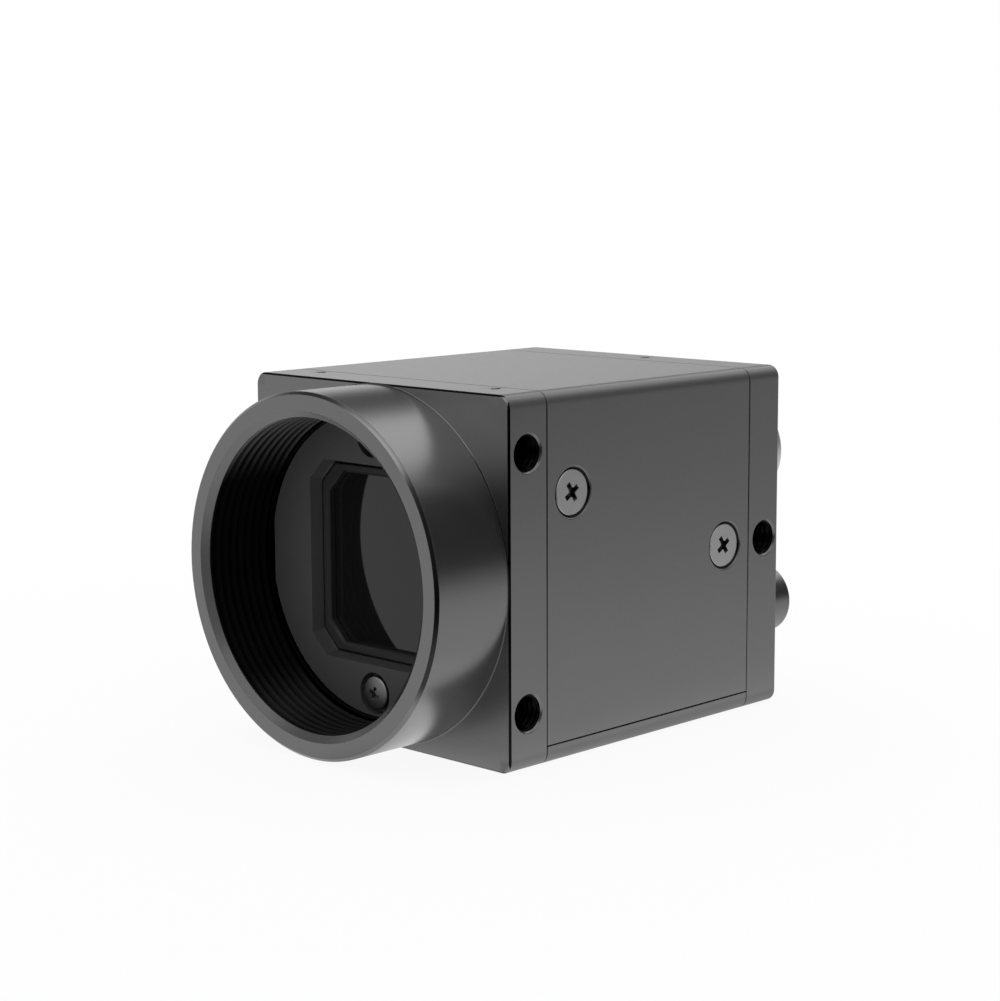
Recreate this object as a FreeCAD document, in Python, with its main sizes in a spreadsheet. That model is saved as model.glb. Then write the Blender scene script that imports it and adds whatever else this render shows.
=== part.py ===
import FreeCAD, Part
import os
import Sketcher
from types import SimpleNamespace

# A cube-shaped industrial camera with a screw-in lens mount. The origin is the centre
# of the mount's flange, the lens axis is Y with the rear at +Y, and Z is up.
# Every length is in millimetres.
drivingSizes = {
    # outer form
    "body_width": 29.0,
    "body_height": 29.0,
    "body_length": 33.0,
    "front_depth": 4.1,
    "rear_depth": 4.0,
    "edge_round": 1.0,
    "face_chamfer": 0.15,
    "seam_gap": 0.1,
    "fit_gap": 0.05,
    # lens mount
    "ring_margin": 0.1,
    "ring_length": 7.5,
    "ring_chamfer": 0.25,
    "ring_wall": 1.7,
    "thread_depth": 6.6,
    "thread_lead": 0.25,
    "seat_step": 0.45,
    "floor_thickness": 1.6,
    "window_width": 10.0,
    "window_height": 13.2,
    "flange_focus": 17.526,
    # filter frame, its gasket and the glass
    "frame_setback": 7.0,
    "frame_thickness": 1.7,
    "frame_flat_cut": 0.27,
    "opening_width": 14.8,
    "opening_height": 16.1,
    "opening_corner": 1.7,
    "opening_slope": 0.25,
    "gasket_setback": 1.0,
    "gasket_gap": 0.1,
    "gasket_width": 0.7,
    "gasket_bevel": 0.2,
    "glass_lip": 0.25,
    "glass_thickness": 0.9,
    "glass_gap": 0.03,
    "frame_screw_inset": 1.9,
    "frame_screw_head": 1.35,
    "frame_screw_pocket": 1.7,
    "pocket_depth": 0.95,
    # tapped holes in the outer faces
    "mount_hole_radius": 1.4,
    "mount_hole_depth": 3.0,
    "mount_hole_pitch": 20.0,
    "front_hole_setback": 2.05,
    "rear_hole_setback": 1.9,
    "top_hole_radius": 0.8,
    "top_hole_depth": 2.6,
    "top_hole_setback": 3.1,
    "rear_top_offset": 1.1,
    # covers and their screws
    "cover_wall": 1.0,
    "cover_inner_round": 0.3,
    "base_thickness": 1.47,
    "tongue_length": 6.1,
    "tongue_top": 2.0,
    "tongue_width": 3.4,
    "cover_screw_rise": 6.5,
    "front_screw_setback": 3.0,
    "rear_screw_setback": 3.2,
    "base_screw_inset": 3.1,
    "cover_screw_sink": 0.25,
    "countersink_radius": 2.08,
    "cover_screw_radius": 1.0,
    "cover_screw_length": 3.3,
    "clearance_hole_radius": 1.15,
    "recess_span": 1.9,
    "recess_slot": 0.45,
    "recess_depth": 0.7,
    # sensor and boards
    "cavity_width": 18.4,
    "cavity_round": 2.0,
    "board_margin": 0.65,
    "board_thickness": 1.0,
    "stack_inset": 1.45,
    "stack_hole_radius": 0.9,
    "stack_screw_radius": 0.78,
    "stack_head_radius": 1.4,
    "stack_head_height": 0.9,
    "pan_recess_span": 1.5,
    "pan_recess_depth": 0.54,
    "stack_screw_grip": 2.8,
    "spacer_radius": 1.45,
    "front_spacer_length": 3.0,
    "rear_spacer_length": 2.7,
    "package_width": 14.0,
    "package_height": 15.6,
    "package_depth": 1.8,
    "die_width": 9.0,
    "die_height": 11.4,
    "die_thickness": 0.3,
    "die_gap": 0.4,
    "die_margin": 0.8,
    "sensor_glass_thickness": 0.5,
    "sensor_glass_inset": 0.6,
    "connector_length": 14.0,
    "connector_width": 3.0,
    "connector_step": 0.2,
    "sensor_link_rise": -9.6,
    "interface_link_rise": 9.9,
    # components on the boards, each by its centre and its size
    "processor_side": -3.0,
    "processor_rise": 1.5,
    "processor_span": 12.0,
    "processor_depth": 1.35,
    "memory_side": 8.1,
    "memory_width": 7.8,
    "memory_height": 9.0,
    "memory_depth": 1.05,
    "transformer_side": -2.4,
    "transformer_rise": -8.7,
    "transformer_width": 12.0,
    "transformer_height": 6.0,
    "transformer_depth": 2.1,
    "network_chip_side": 7.5,
    "network_chip_rise": -6.9,
    "network_chip_span": 6.0,
    "network_chip_depth": 0.9,
    "inductor_side": -1.8,
    "inductor_rise": 6.9,
    "inductor_span": 4.8,
    "inductor_depth": 2.7,
    # network jack
    "jack_width": 16.0,
    "jack_height": 13.3,
    "jack_proud": 0.5,
    "jack_shell_wall": 0.3,
    "jack_body_setback": 0.2,
    "plug_width": 11.8,
    "plug_height": 6.9,
    "plug_depth": 11.5,
    "plug_drop": 2.35,
    "latch_width": 6.1,
    "latch_height": 1.3,
    "latch_slot_width": 3.3,
    "contact_pitch": 1.02,
    "contact_width": 0.4,
    "contact_thickness": 0.3,
    "contact_rise": 0.39,
    "contact_setback": 2.7,
    "contact_fold": 0.9,
    "contact_reach": 5.75,
    "contact_drop": 2.07,
    "channel_width": 8.8,
    "channel_drop": 0.6,
    "channel_rise": 0.45,
    "channel_wall": 1.8,
    "lamp_width": 2.8,
    "lamp_height": 1.3,
    "lamp_reach": 4.8,
    "lamp_drop": 0.15,
    "lock_boss_radius": 2.97,
    "lock_boss_pitch": 21.5,
    "lock_boss_height": 2.9,
    "lock_boss_rise": -6.3,
    "lock_hole_radius": 1.0,
    "lock_hole_depth": 5.0,
    # round connector
    "io_inset": 6.7,
    "io_rise": 6.7,
    "io_barrel_radius": 4.5,
    "io_barrel_length": 3.5,
    "io_lip_chamfer": 0.2,
    "io_neck_radius": 3.85,
    "io_bore_radius": 3.4,
    "io_socket_depth": 5.5,
    "io_insert_length": 6.5,
    "io_nut_radius": 5.0,
    "io_nut_length": 1.6,
    "io_pin_radius": 0.35,
    "io_pin_circle": 1.75,
    "io_pin_reach": 3.6,
    # status light
    "light_inset": 6.1,
    "light_radius": 1.0,
    "light_proud": 0.2,
    "light_collar_radius": 1.6,
    "lamp_chip_span": 1.5,
    "lamp_chip_height": 0.8,
}


class Size:
    """A length that keeps both its number and its formula in the sheet's words."""

    def __init__(self, number, text):
        self.number = number
        self.text = text

    def __add__(self, other):
        other = asSize(other)
        return Size(self.number + other.number, f"({self.text} + {other.text})")

    def __sub__(self, other):
        other = asSize(other)
        return Size(self.number - other.number, f"({self.text} - {other.text})")

    def __mul__(self, other):
        other = asSize(other)
        return Size(self.number * other.number, f"({self.text} * {other.text})")

    def __truediv__(self, other):
        other = asSize(other)
        return Size(self.number / other.number, f"({self.text} / {other.text})")

    def __neg__(self):
        return self * -1

    def __radd__(self, other):
        return asSize(other) + self

    def __rsub__(self, other):
        return asSize(other) - self

    __rmul__ = __mul__


def asSize(value):
    if isinstance(value, Size):
        return value
    return Size(float(value), f"({float(value)})")


doc = FreeCAD.newDocument("camera")
sheet = doc.addObject("Spreadsheet::Sheet", "sizes")
for row, (name, number) in enumerate(drivingSizes.items(), start=1):
    sheet.set(f"A{row}", name)
    sheet.set(f"B{row}", str(number))
    sheet.setAlias(f"B{row}", name)
doc.recompute()
dims = SimpleNamespace(**{name: Size(number, f"sizes.{name}") for name, number in drivingSizes.items()})

# planes that several pieces share, measured from the flange towards the rear
halfWidth = dims.body_width / 2
halfHeight = dims.body_height / 2
ringRadius = halfWidth - dims.ring_margin
threadRadius = ringRadius - dims.ring_wall
seatRadius = threadRadius - dims.seat_step
frameScrewReach = seatRadius - dims.frame_screw_inset
blockFront = dims.ring_length
blockBack = blockFront + dims.front_depth
bodyBack = blockFront + dims.body_length
rearFront = bodyBack - dims.rear_depth
seatFloor = dims.frame_setback + dims.frame_thickness
gasketFront = dims.frame_setback + dims.gasket_setback
gasketWidth = dims.opening_width - (dims.opening_slope + dims.gasket_gap) * 2
gasketHeight = dims.opening_height - (dims.opening_slope + dims.gasket_gap) * 2
sightWidth = gasketWidth - dims.gasket_width * 2
sightHeight = gasketHeight - dims.gasket_width * 2
glassWidth = sightWidth + dims.glass_lip * 2
glassHeight = sightHeight + dims.glass_lip * 2
cavityFront = seatFloor + dims.floor_thickness
packageFront = dims.flange_focus - dims.die_gap
packageBack = packageFront + dims.package_depth
sensorBoardBack = packageBack + dims.board_thickness
processorBoardFront = sensorBoardBack + dims.front_spacer_length
processorBoardBack = processorBoardFront + dims.board_thickness
interfaceBoardFront = processorBoardBack + dims.rear_spacer_length
interfaceBoardBack = interfaceBoardFront + dims.board_thickness
baseTop = dims.base_thickness - halfHeight
innerSide = halfWidth - dims.cover_wall
innerTop = halfHeight - dims.cover_wall
boardSide = innerSide - dims.board_margin
boardTop = innerTop - dims.board_margin
stackSide = boardSide - dims.stack_inset
stackRise = boardTop - dims.stack_inset
ioSide = halfWidth - dims.io_inset
lightSide = dims.light_inset - halfWidth
baseScrewSide = halfWidth - dims.base_screw_inset
frontScrewPlane = blockBack + dims.front_screw_setback
rearScrewPlane = rearFront - dims.rear_screw_setback
jackTop = baseTop + dims.fit_gap + dims.jack_height
jackBack = bodyBack + dims.jack_proud
jackFace = jackBack - dims.jack_body_setback
bothSides = (-1, 1)
contactCount = 8
pinCount = 6
recessTurn = 45
frameRecessTurns = {-1: 20, 1: 65}

# sketch plane of a body -> role of the plane, and whether its normal runs up its axis
planes = {"across": ("XZ_Plane", -1), "level": ("XY_Plane", 1), "along": ("YZ_Plane", 1)}
cutFeatures = []
exported = []


def newBody(label):
    body = doc.addObject("PartDesign::Body", label)
    body.Label = label
    return body


def setBound(item, prop, size):
    item.setExpression(prop, asSize(size).text)


def newSketch(body, name, plane, offset=0):
    """A sketch parallel to one of the body's own origin planes, offset along its axis."""
    role, sense = planes[plane]
    support = next(item for item in body.Origin.OriginFeatures if item.Role == role)
    sketch = body.newObject("Sketcher::SketchObject", name)
    sketch.AttachmentSupport = [(support, "")]
    sketch.MapMode = "FlatFace"
    setBound(sketch, "AttachmentOffset.Base.z", asSize(offset) * sense)
    return sketch


def holdPoint(sketch, curve, end, first, second):
    """Holds one point of a curve at two coordinates from the origin."""
    for axisLine, kind, size in ((-2, "DistanceX", first), (-1, "DistanceY", second)):
        if isinstance(size, Size):
            link = Sketcher.Constraint(kind, -1, 1, curve, end, size.number)
            index = sketch.addConstraint(link)
            setBound(sketch, f"Constraints[{index}]", size)
        else:
            sketch.addConstraint(Sketcher.Constraint("PointOnObject", curve, end, axisLine))


def drawCircle(sketch, first, second, radius):
    centre = FreeCAD.Vector(asSize(first).number, asSize(second).number, 0)
    circle = Part.Circle(centre, FreeCAD.Vector(0, 0, 1), radius.number)
    curve = sketch.addGeometry(circle)
    holdPoint(sketch, curve, 3, first, second)
    index = sketch.addConstraint(Sketcher.Constraint("Radius", curve, radius.number))
    setBound(sketch, f"Constraints[{index}]", radius)


def drawOutline(sketch, points):
    """A closed outline of straight lines, each corner held by two sizes."""
    corners = [FreeCAD.Vector(asSize(x).number, asSize(y).number, 0) for x, y in points]
    curves = []
    for start, end in zip(corners, corners[1:] + corners[:1]):
        curves.append(sketch.addGeometry(Part.LineSegment(start, end)))
    for curve, following in zip(curves, curves[1:] + curves[:1]):
        sketch.addConstraint(Sketcher.Constraint("Coincident", curve, 2, following, 1))
    for curve, (first, second) in zip(curves, points):
        holdPoint(sketch, curve, 1, first, second)


def drawRectangle(sketch, low, high):
    corners = [(low[0], low[1]), (high[0], low[1]), (high[0], high[1]), (low[0], high[1])]
    drawOutline(sketch, corners)


def drawStackHoles(sketch, radius):
    """The holes of the board stack's two screws, in opposite corners."""
    for side in bothSides:
        drawCircle(sketch, stackSide * side, stackRise * side, radius)


def extrude(body, kind, sketch, length, ahead=True):
    """Pads or pockets a sketch, towards its axis's rising side where ahead is true."""
    sense = planes[planeOf(sketch)][1]
    item = body.newObject(f"PartDesign::{kind}", f"{kind}_{sketch.Name}")
    item.Profile = sketch
    setBound(item, "Length", length)
    alongNormal = (sense > 0) == ahead
    item.Reversed = alongNormal if kind == "Pocket" else not alongNormal
    sketch.Visibility = False
    doc.recompute()
    if kind == "Pocket":
        cutFeatures.append(item)
    return item


def planeOf(sketch):
    role = sketch.AttachmentSupport[0][0].Role
    return next(plane for plane, entry in planes.items() if entry[0] == role)


def turn(body, kind, sketch, axis):
    """Revolves or grooves a sketch once round one of its own axes."""
    item = body.newObject(f"PartDesign::{kind}", f"{kind}_{sketch.Name}")
    item.Profile = sketch
    item.ReferenceAxis = (sketch, [axis])
    item.Angle = 360
    doc.recompute()
    if kind == "Groove":
        cutFeatures.append(item)
    return item


def breakEdges(body, kind, size, wanted):
    """Chamfers or fillets the tip's edges that the test accepts."""
    tip = body.Tip
    names = [f"Edge{n}" for n, edge in enumerate(tip.Shape.Edges, start=1) if wanted(edge)]
    if not names:
        raise ValueError(f"{body.Label}: no edge found for {kind}")
    item = body.newObject(f"PartDesign::{kind}", f"{kind}_{body.Label}_{len(body.Group)}")
    item.Base = (tip, names)
    setBound(item, "Size" if kind == "Chamfer" else "Radius", size)
    doc.recompute()
    return item


def near(value, size):
    return abs(value - asSize(size).number) < 1e-4


def isCircle(edge, radius):
    return edge.Curve.TypeId == "Part::GeomCircle" and near(edge.Curve.Radius, radius)


def lies(edge, axis, size):
    """True where the whole edge lies in the plane across one axis, 0 for x to 2 for z."""
    box = edge.BoundBox
    low, high = ((box.XMin, box.XMax), (box.YMin, box.YMax), (box.ZMin, box.ZMax))[axis]
    return near(low, size) and near(high, size)


def runsAlong(edge, axis):
    """True where a straight edge runs along one axis, 0 for x to 2 for z."""
    if edge.Curve.TypeId != "Part::GeomLine":
        return False
    return abs(abs(edge.Curve.Direction[axis]) - 1) < 1e-6


def place(item, x=0, y=0, z=0):
    for prop, size in zip("xyz", (x, y, z)):
        setBound(item, f"Placement.Base.{prop}", size)


def addBox(label, low, size):
    """A plain block with its low corner and its three sizes bound."""
    block = doc.addObject("Part::Box", label)
    block.Label = label
    for prop, length in zip(("Length", "Width", "Height"), size):
        setBound(block, prop, length)
    place(block, *low)
    return block


def addGroup(label, master, spots):
    """Copies of one master, each at its own spot and turn, kept as separate solids."""
    links = []
    for number, (spot, rotation) in enumerate(spots, start=1):
        link = doc.addObject("App::Link", f"{label}_{number}")
        link.LinkedObject = master
        link.Placement = FreeCAD.Placement(FreeCAD.Vector(), rotation)
        place(link, *spot)
        links.append(link)
    group = doc.addObject("Part::Compound", label)
    group.Label = label
    group.Links = links
    return group


def turned(axis, angle):
    return FreeCAD.Rotation(FreeCAD.Vector(*axis), angle)


unturned = turned((0, 0, 1), 0)


def hexagonPoints(radius):
    """The six corners of a hexagon of that outer radius, with two flats level."""
    side = radius / 2
    rise = radius * (3 ** 0.5 / 2)
    return [(radius, 0), (side, rise), (-side, rise), (-radius, 0), (-side, -rise), (side, -rise)]


def stackSpots(y):
    """The board stack's two screw positions at the plane y."""
    return [(stackSide * side, y, stackRise * side) for side in bothSides]


def cutSideHoles(body, name, y, heights):
    """Tapped mounting holes in both sides of a block."""
    for side in bothSides:
        sketch = newSketch(body, f"{name}{'R' if side > 0 else 'L'}", "along", halfWidth * side)
        for height in heights:
            drawCircle(sketch, y, height, dims.mount_hole_radius)
        extrude(body, "Pocket", sketch, dims.mount_hole_depth, ahead=side < 0)


def blockPlate(body, name, front, depth):
    """A square plate of the housing with its four long edges rounded."""
    sketch = newSketch(body, name, "across", front)
    drawRectangle(sketch, (-halfWidth, -halfHeight), (halfWidth, halfHeight))
    extrude(body, "Pad", sketch, depth)
    breakEdges(body, "Fillet", dims.edge_round, lambda edge: runsAlong(edge, 1))


def outerRim(y):
    """Test for the edges round a plate's outer rim in the plane at y."""
    return lambda edge: lies(edge, 1, y)


def frontBlock():
    """The machined front with the mount ring, the filter seat and the sensor housing."""
    body = newBody("front_block")
    blockPlate(body, "frontPlate", blockFront, dims.front_depth)
    breakEdges(body, "Chamfer", dims.face_chamfer, outerRim(blockFront))

    skirt = newSketch(body, "skirt", "across", blockBack)
    side = innerSide - dims.fit_gap
    top = innerTop - dims.fit_gap
    drawRectangle(skirt, (-side, baseTop), (side, top))
    extrude(body, "Pad", skirt, packageBack - blockBack)
    breakEdges(body, "Fillet", dims.cover_inner_round,
               lambda edge: runsAlong(edge, 1) and lies(edge, 2, top))

    ring = newSketch(body, "ring", "across", 0)
    drawCircle(ring, 0, 0, ringRadius)
    extrude(body, "Pad", ring, blockFront + dims.face_chamfer * 2)

    cavity = newSketch(body, "cavity", "across", packageBack)
    reach = dims.cavity_width / 2
    drawRectangle(cavity, (-reach, -reach), (reach, reach))
    extrude(body, "Pocket", cavity, packageBack - cavityFront, ahead=False)
    breakEdges(body, "Fillet", dims.cavity_round, lambda edge: runsAlong(edge, 1)
               and near(abs(edge.Vertexes[0].X), reach) and near(abs(edge.Vertexes[0].Z), reach))

    cuts = (("thread", threadRadius, 0, dims.thread_depth),
            ("seat", seatRadius, dims.thread_depth, seatFloor - dims.thread_depth))
    for name, radius, start, depth in cuts:
        sketch = newSketch(body, name, "across", start)
        drawCircle(sketch, 0, 0, radius)
        extrude(body, "Pocket", sketch, depth)
    window = newSketch(body, "window", "across", seatFloor)
    drawRectangle(window, (-dims.window_width / 2, -dims.window_height / 2),
                  (dims.window_width / 2, dims.window_height / 2))
    extrude(body, "Pocket", window, dims.floor_thickness)
    glassSeat = newSketch(body, "glassSeat", "across", seatFloor)
    octagon(glassSeat, glassWidth + dims.fit_gap * 2, glassHeight + dims.fit_gap * 2,
            dims.opening_corner)
    extrude(body, "Pocket", glassSeat, dims.glass_thickness)

    frameHoles = newSketch(body, "frameHoles", "across", seatFloor)
    for sideZ in bothSides:
        drawCircle(frameHoles, 0, frameScrewReach * sideZ, dims.stack_screw_radius)
    extrude(body, "Pocket", frameHoles, dims.floor_thickness + dims.pocket_depth)
    stackHoles = newSketch(body, "stackHoles", "across", packageBack)
    drawStackHoles(stackHoles, dims.stack_screw_radius)
    extrude(body, "Pocket", stackHoles, dims.stack_screw_grip + dims.fit_gap, ahead=False)

    holePlane = blockFront + dims.front_hole_setback
    cutSideHoles(body, "sideHoles", holePlane, [dims.mount_hole_pitch / 2 * n for n in bothSides])
    bottom = newSketch(body, "bottomHoles", "level", -halfHeight)
    upper = newSketch(body, "topHoles", "level", halfHeight)
    for sideX in bothSides:
        x = dims.mount_hole_pitch / 2 * sideX
        drawCircle(bottom, x, holePlane, dims.mount_hole_radius)
        drawCircle(upper, x, blockFront + dims.top_hole_setback, dims.top_hole_radius)
    extrude(body, "Pocket", bottom, dims.mount_hole_depth)
    extrude(body, "Pocket", upper, dims.top_hole_depth, ahead=False)
    tapCoverHoles(body, "front", frontScrewPlane, dims.cover_screw_rise, baseScrewSide)

    breakEdges(body, "Chamfer", dims.ring_chamfer,
               lambda edge: isCircle(edge, ringRadius) and lies(edge, 1, 0))
    breakEdges(body, "Chamfer", dims.thread_lead,
               lambda edge: isCircle(edge, threadRadius) and lies(edge, 1, 0))
    return body


def tapCoverHoles(body, name, y, height, baseSide):
    """Tapped holes for the cover's two side screws and the base's screw at one plane."""
    grip = dims.cover_screw_length + dims.fit_gap
    for side in bothSides:
        sketch = newSketch(body, f"{name}Tap{'R' if side > 0 else 'L'}", "along",
                           (innerSide - dims.fit_gap) * side)
        drawCircle(sketch, y, height, dims.cover_screw_radius)
        depth = grip - dims.cover_wall - dims.fit_gap + dims.cover_screw_sink
        extrude(body, "Pocket", sketch, depth, ahead=side < 0)
    sketch = newSketch(body, f"{name}BaseTap", "level", baseTop)
    drawCircle(sketch, baseSide, y, dims.cover_screw_radius)
    extrude(body, "Pocket", sketch, grip + dims.cover_screw_sink - dims.base_thickness)


def rearBlock():
    """The machined rear with the jack opening, the lock bosses and two inner tongues."""
    body = newBody("rear_block")
    blockPlate(body, "rearPlate", rearFront, dims.rear_depth)
    breakEdges(body, "Chamfer", dims.face_chamfer, outerRim(bodyBack))

    tongues = newSketch(body, "tongues", "across", rearFront - dims.tongue_length)
    for side in bothSides:
        outer = (innerSide - dims.fit_gap) * side
        inner = outer - dims.tongue_width * side
        drawRectangle(tongues, (inner, baseTop), (outer, dims.tongue_top))
    extrude(body, "Pad", tongues, dims.tongue_length + dims.fit_gap)

    bosses = newSketch(body, "lockBosses", "across", bodyBack - dims.fit_gap)
    for side in bothSides:
        drawCircle(bosses, dims.lock_boss_pitch / 2 * side, dims.lock_boss_rise,
                   dims.lock_boss_radius)
    extrude(body, "Pad", bosses, dims.lock_boss_height + dims.fit_gap)

    opening = newSketch(body, "jackOpening", "across", bodyBack + dims.lock_boss_height)
    side = dims.jack_width / 2 + dims.fit_gap
    drawRectangle(opening, (-side, baseTop), (side, jackTop + dims.fit_gap))
    extrude(body, "Pocket", opening, dims.rear_depth + dims.lock_boss_height, ahead=False)

    locks = newSketch(body, "lockHoles", "across", bodyBack + dims.lock_boss_height)
    for side in bothSides:
        drawCircle(locks, dims.lock_boss_pitch / 2 * side, dims.lock_boss_rise,
                   dims.lock_hole_radius)
    extrude(body, "Pocket", locks, dims.lock_hole_depth, ahead=False)

    through = newSketch(body, "connectorHoles", "across", bodyBack)
    drawCircle(through, ioSide, dims.io_rise, dims.io_neck_radius + dims.fit_gap)
    drawCircle(through, lightSide, dims.io_rise, dims.light_radius + dims.fit_gap)
    extrude(body, "Pocket", through, dims.rear_depth, ahead=False)

    holePlane = bodyBack - dims.rear_hole_setback
    cutSideHoles(body, "rearSideHoles", holePlane, [0])
    upper = newSketch(body, "rearTopHole", "level", halfHeight)
    drawCircle(upper, dims.rear_top_offset, holePlane, dims.top_hole_radius)
    extrude(body, "Pocket", upper, dims.top_hole_depth, ahead=False)
    tapCoverHoles(body, "rear", rearScrewPlane, 0, -baseScrewSide)
    return body


def sinkScrewHoles(body, isMouth):
    """Countersinks the clearance holes where they meet the outer face."""
    depth = dims.countersink_radius - dims.clearance_hole_radius
    breakEdges(body, "Chamfer", depth,
               lambda edge: isCircle(edge, dims.clearance_hole_radius) and isMouth(edge))


def topCover():
    """The U-shaped cover between the two blocks, countersunk for two screws a side."""
    body = newBody("top_cover")
    sketch = newSketch(body, "coverSection", "across", blockBack + dims.seam_gap)
    low = baseTop + dims.seam_gap
    drawOutline(sketch, [(-halfWidth, low), (-innerSide, low), (-innerSide, innerTop),
                         (innerSide, innerTop), (innerSide, low), (halfWidth, low),
                         (halfWidth, halfHeight), (-halfWidth, halfHeight)])
    extrude(body, "Pad", sketch, rearFront - blockBack - dims.seam_gap * 2)
    for radius, height in ((dims.edge_round, halfHeight), (dims.cover_inner_round, innerTop)):
        breakEdges(body, "Fillet", radius,
                   lambda edge: runsAlong(edge, 1) and lies(edge, 2, height))
    holes = newSketch(body, "coverHoles", "along", halfWidth)
    drawCircle(holes, frontScrewPlane, dims.cover_screw_rise, dims.clearance_hole_radius)
    drawCircle(holes, rearScrewPlane, 0, dims.clearance_hole_radius)
    extrude(body, "Pocket", holes, dims.body_width, ahead=False)
    sinkScrewHoles(body, lambda edge: lies(edge, 0, halfWidth) or lies(edge, 0, -halfWidth))
    return body


def basePlate():
    """The plate under the camera between the two blocks, countersunk from below."""
    body = newBody("base_plate")
    sketch = newSketch(body, "baseSection", "across", blockBack + dims.seam_gap)
    drawRectangle(sketch, (-halfWidth, -halfHeight), (halfWidth, baseTop))
    extrude(body, "Pad", sketch, rearFront - blockBack - dims.seam_gap * 2)
    breakEdges(body, "Fillet", dims.edge_round,
               lambda edge: runsAlong(edge, 1) and lies(edge, 2, -halfHeight))
    holes = newSketch(body, "baseHoles", "level", -halfHeight)
    drawCircle(holes, baseScrewSide, frontScrewPlane, dims.clearance_hole_radius)
    drawCircle(holes, -baseScrewSide, rearScrewPlane, dims.clearance_hole_radius)
    extrude(body, "Pocket", holes, dims.base_thickness)
    sinkScrewHoles(body, lambda edge: lies(edge, 2, -halfHeight))
    return body


def crossRecess(body, depth, span):
    """The cross-shaped driver recess in a screw head whose top is at z = 0."""
    sketch = newSketch(body, f"recess_{body.Label}", "level", 0)
    arm = span / 2
    slot = dims.recess_slot / 2
    quarter = [(slot, arm), (slot, slot), (arm, slot)]
    points = []
    for sideX, sideY, order in ((1, 1, 1), (1, -1, -1), (-1, -1, 1), (-1, 1, -1)):
        points += [(x * sideX, y * sideY) for x, y in quarter[::order]]
    drawOutline(sketch, points)
    return extrude(body, "Pocket", sketch, depth, ahead=False)


def flatHeadScrew():
    """A countersunk screw standing on its tip, with the top of its head at z = 0."""
    body = newBody("flat_screw_master")
    head = dims.countersink_radius - dims.cover_screw_sink - dims.fit_gap
    shank = dims.cover_screw_radius - dims.fit_gap / 2
    sketch = newSketch(body, "flatScrewSection", "across")
    drawOutline(sketch, [(0, 0), (head, 0), (shank, shank - head),
                         (shank, -dims.cover_screw_length), (0, -dims.cover_screw_length)])
    turn(body, "Revolution", sketch, "V_Axis")
    crossRecess(body, dims.recess_depth, dims.recess_span)
    return body


def coverScrews(master):
    """Two countersunk screws a side, which hold the cover to both blocks."""
    reach = halfWidth - dims.cover_screw_sink
    spots = []
    for side in bothSides:
        rotation = turned((0, 1, 0), 90 * side).multiply(turned((0, 0, 1), recessTurn))
        spots.append(((reach * side, frontScrewPlane, dims.cover_screw_rise), rotation))
        spots.append(((reach * side, rearScrewPlane, 0), rotation))
    return addGroup("cover_screws", master, spots)


def baseScrews(master):
    """Two countersunk screws in opposite corners, which hold the base from below."""
    flipped = turned((1, 0, 0), 180)
    z = dims.cover_screw_sink - halfHeight
    spots = [((baseScrewSide, frontScrewPlane, z), flipped),
             ((-baseScrewSide, rearScrewPlane, z), flipped)]
    return addGroup("base_screws", master, spots)


def octagon(sketch, width, height, corner):
    """A rectangle with its corners cut at 45 degrees, centred on the lens axis."""
    x = width / 2
    z = height / 2
    drawOutline(sketch, [(-x, -z + corner), (-x + corner, -z), (x - corner, -z), (x, -z + corner),
                         (x, z - corner), (x - corner, z), (-x + corner, z), (-x, z - corner)])


def filterFrame():
    """The round plate with two flats that holds the filter down in its seat."""
    body = newBody("filter_frame")
    disc = newSketch(body, "frameDisc", "across", dims.frame_setback)
    drawCircle(disc, 0, 0, seatRadius - dims.fit_gap)
    extrude(body, "Pad", disc, dims.frame_thickness)
    flats = newSketch(body, "frameFlats", "across", dims.frame_setback)
    for side in bothSides:
        inner = (seatRadius - dims.fit_gap - dims.frame_flat_cut) * side
        drawRectangle(flats, (inner, -halfHeight), (halfWidth * side, halfHeight))
    extrude(body, "Pocket", flats, dims.frame_thickness)
    slope = newSketch(body, "frameSlope", "across", dims.frame_setback)
    octagon(slope, dims.opening_width, dims.opening_height, dims.opening_corner)
    sloped = extrude(body, "Pocket", slope, dims.gasket_setback)
    taper = f"-atan2({asSize(dims.opening_slope).text}; {asSize(dims.gasket_setback).text})"
    sloped.setExpression("TaperAngle", taper)
    opening = newSketch(body, "frameOpening", "across", gasketFront)
    octagon(opening, dims.opening_width - dims.opening_slope * 2,
            dims.opening_height - dims.opening_slope * 2, dims.opening_corner)
    extrude(body, "Pocket", opening, dims.frame_thickness - dims.gasket_setback)
    cuts = (("framePockets", dims.frame_screw_pocket, dims.pocket_depth),
            ("frameScrewHoles", dims.stack_hole_radius, dims.frame_thickness))
    for name, radius, depth in cuts:
        sketch = newSketch(body, name, "across", dims.frame_setback)
        for side in bothSides:
            drawCircle(sketch, 0, frameScrewReach * side, radius)
        extrude(body, "Pocket", sketch, depth)
    return body


def filterGasket():
    """The octagonal surround at the foot of the frame's opening, which holds the glass."""
    body = newBody("filter_gasket")
    depth = dims.frame_thickness - dims.gasket_setback
    outer = newSketch(body, "gasketOutline", "across", gasketFront)
    octagon(outer, gasketWidth, gasketHeight, dims.opening_corner)
    extrude(body, "Pad", outer, depth)
    sight = newSketch(body, "gasketSight", "across", gasketFront)
    octagon(sight, sightWidth, sightHeight, dims.opening_corner)
    extrude(body, "Pocket", sight, depth)
    breakEdges(body, "Chamfer", dims.gasket_bevel, lambda edge: lies(edge, 1, gasketFront)
               and isSightEdge(edge, sightWidth, sightHeight))
    return body


def isSightEdge(edge, width, height):
    """True for the edges round the clear opening of the gasket."""
    box = edge.BoundBox
    inWidth = max(abs(box.XMin), abs(box.XMax)) < (width / 2).number + 1e-4
    inHeight = max(abs(box.ZMin), abs(box.ZMax)) < (height / 2).number + 1e-4
    return inWidth and inHeight


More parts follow.
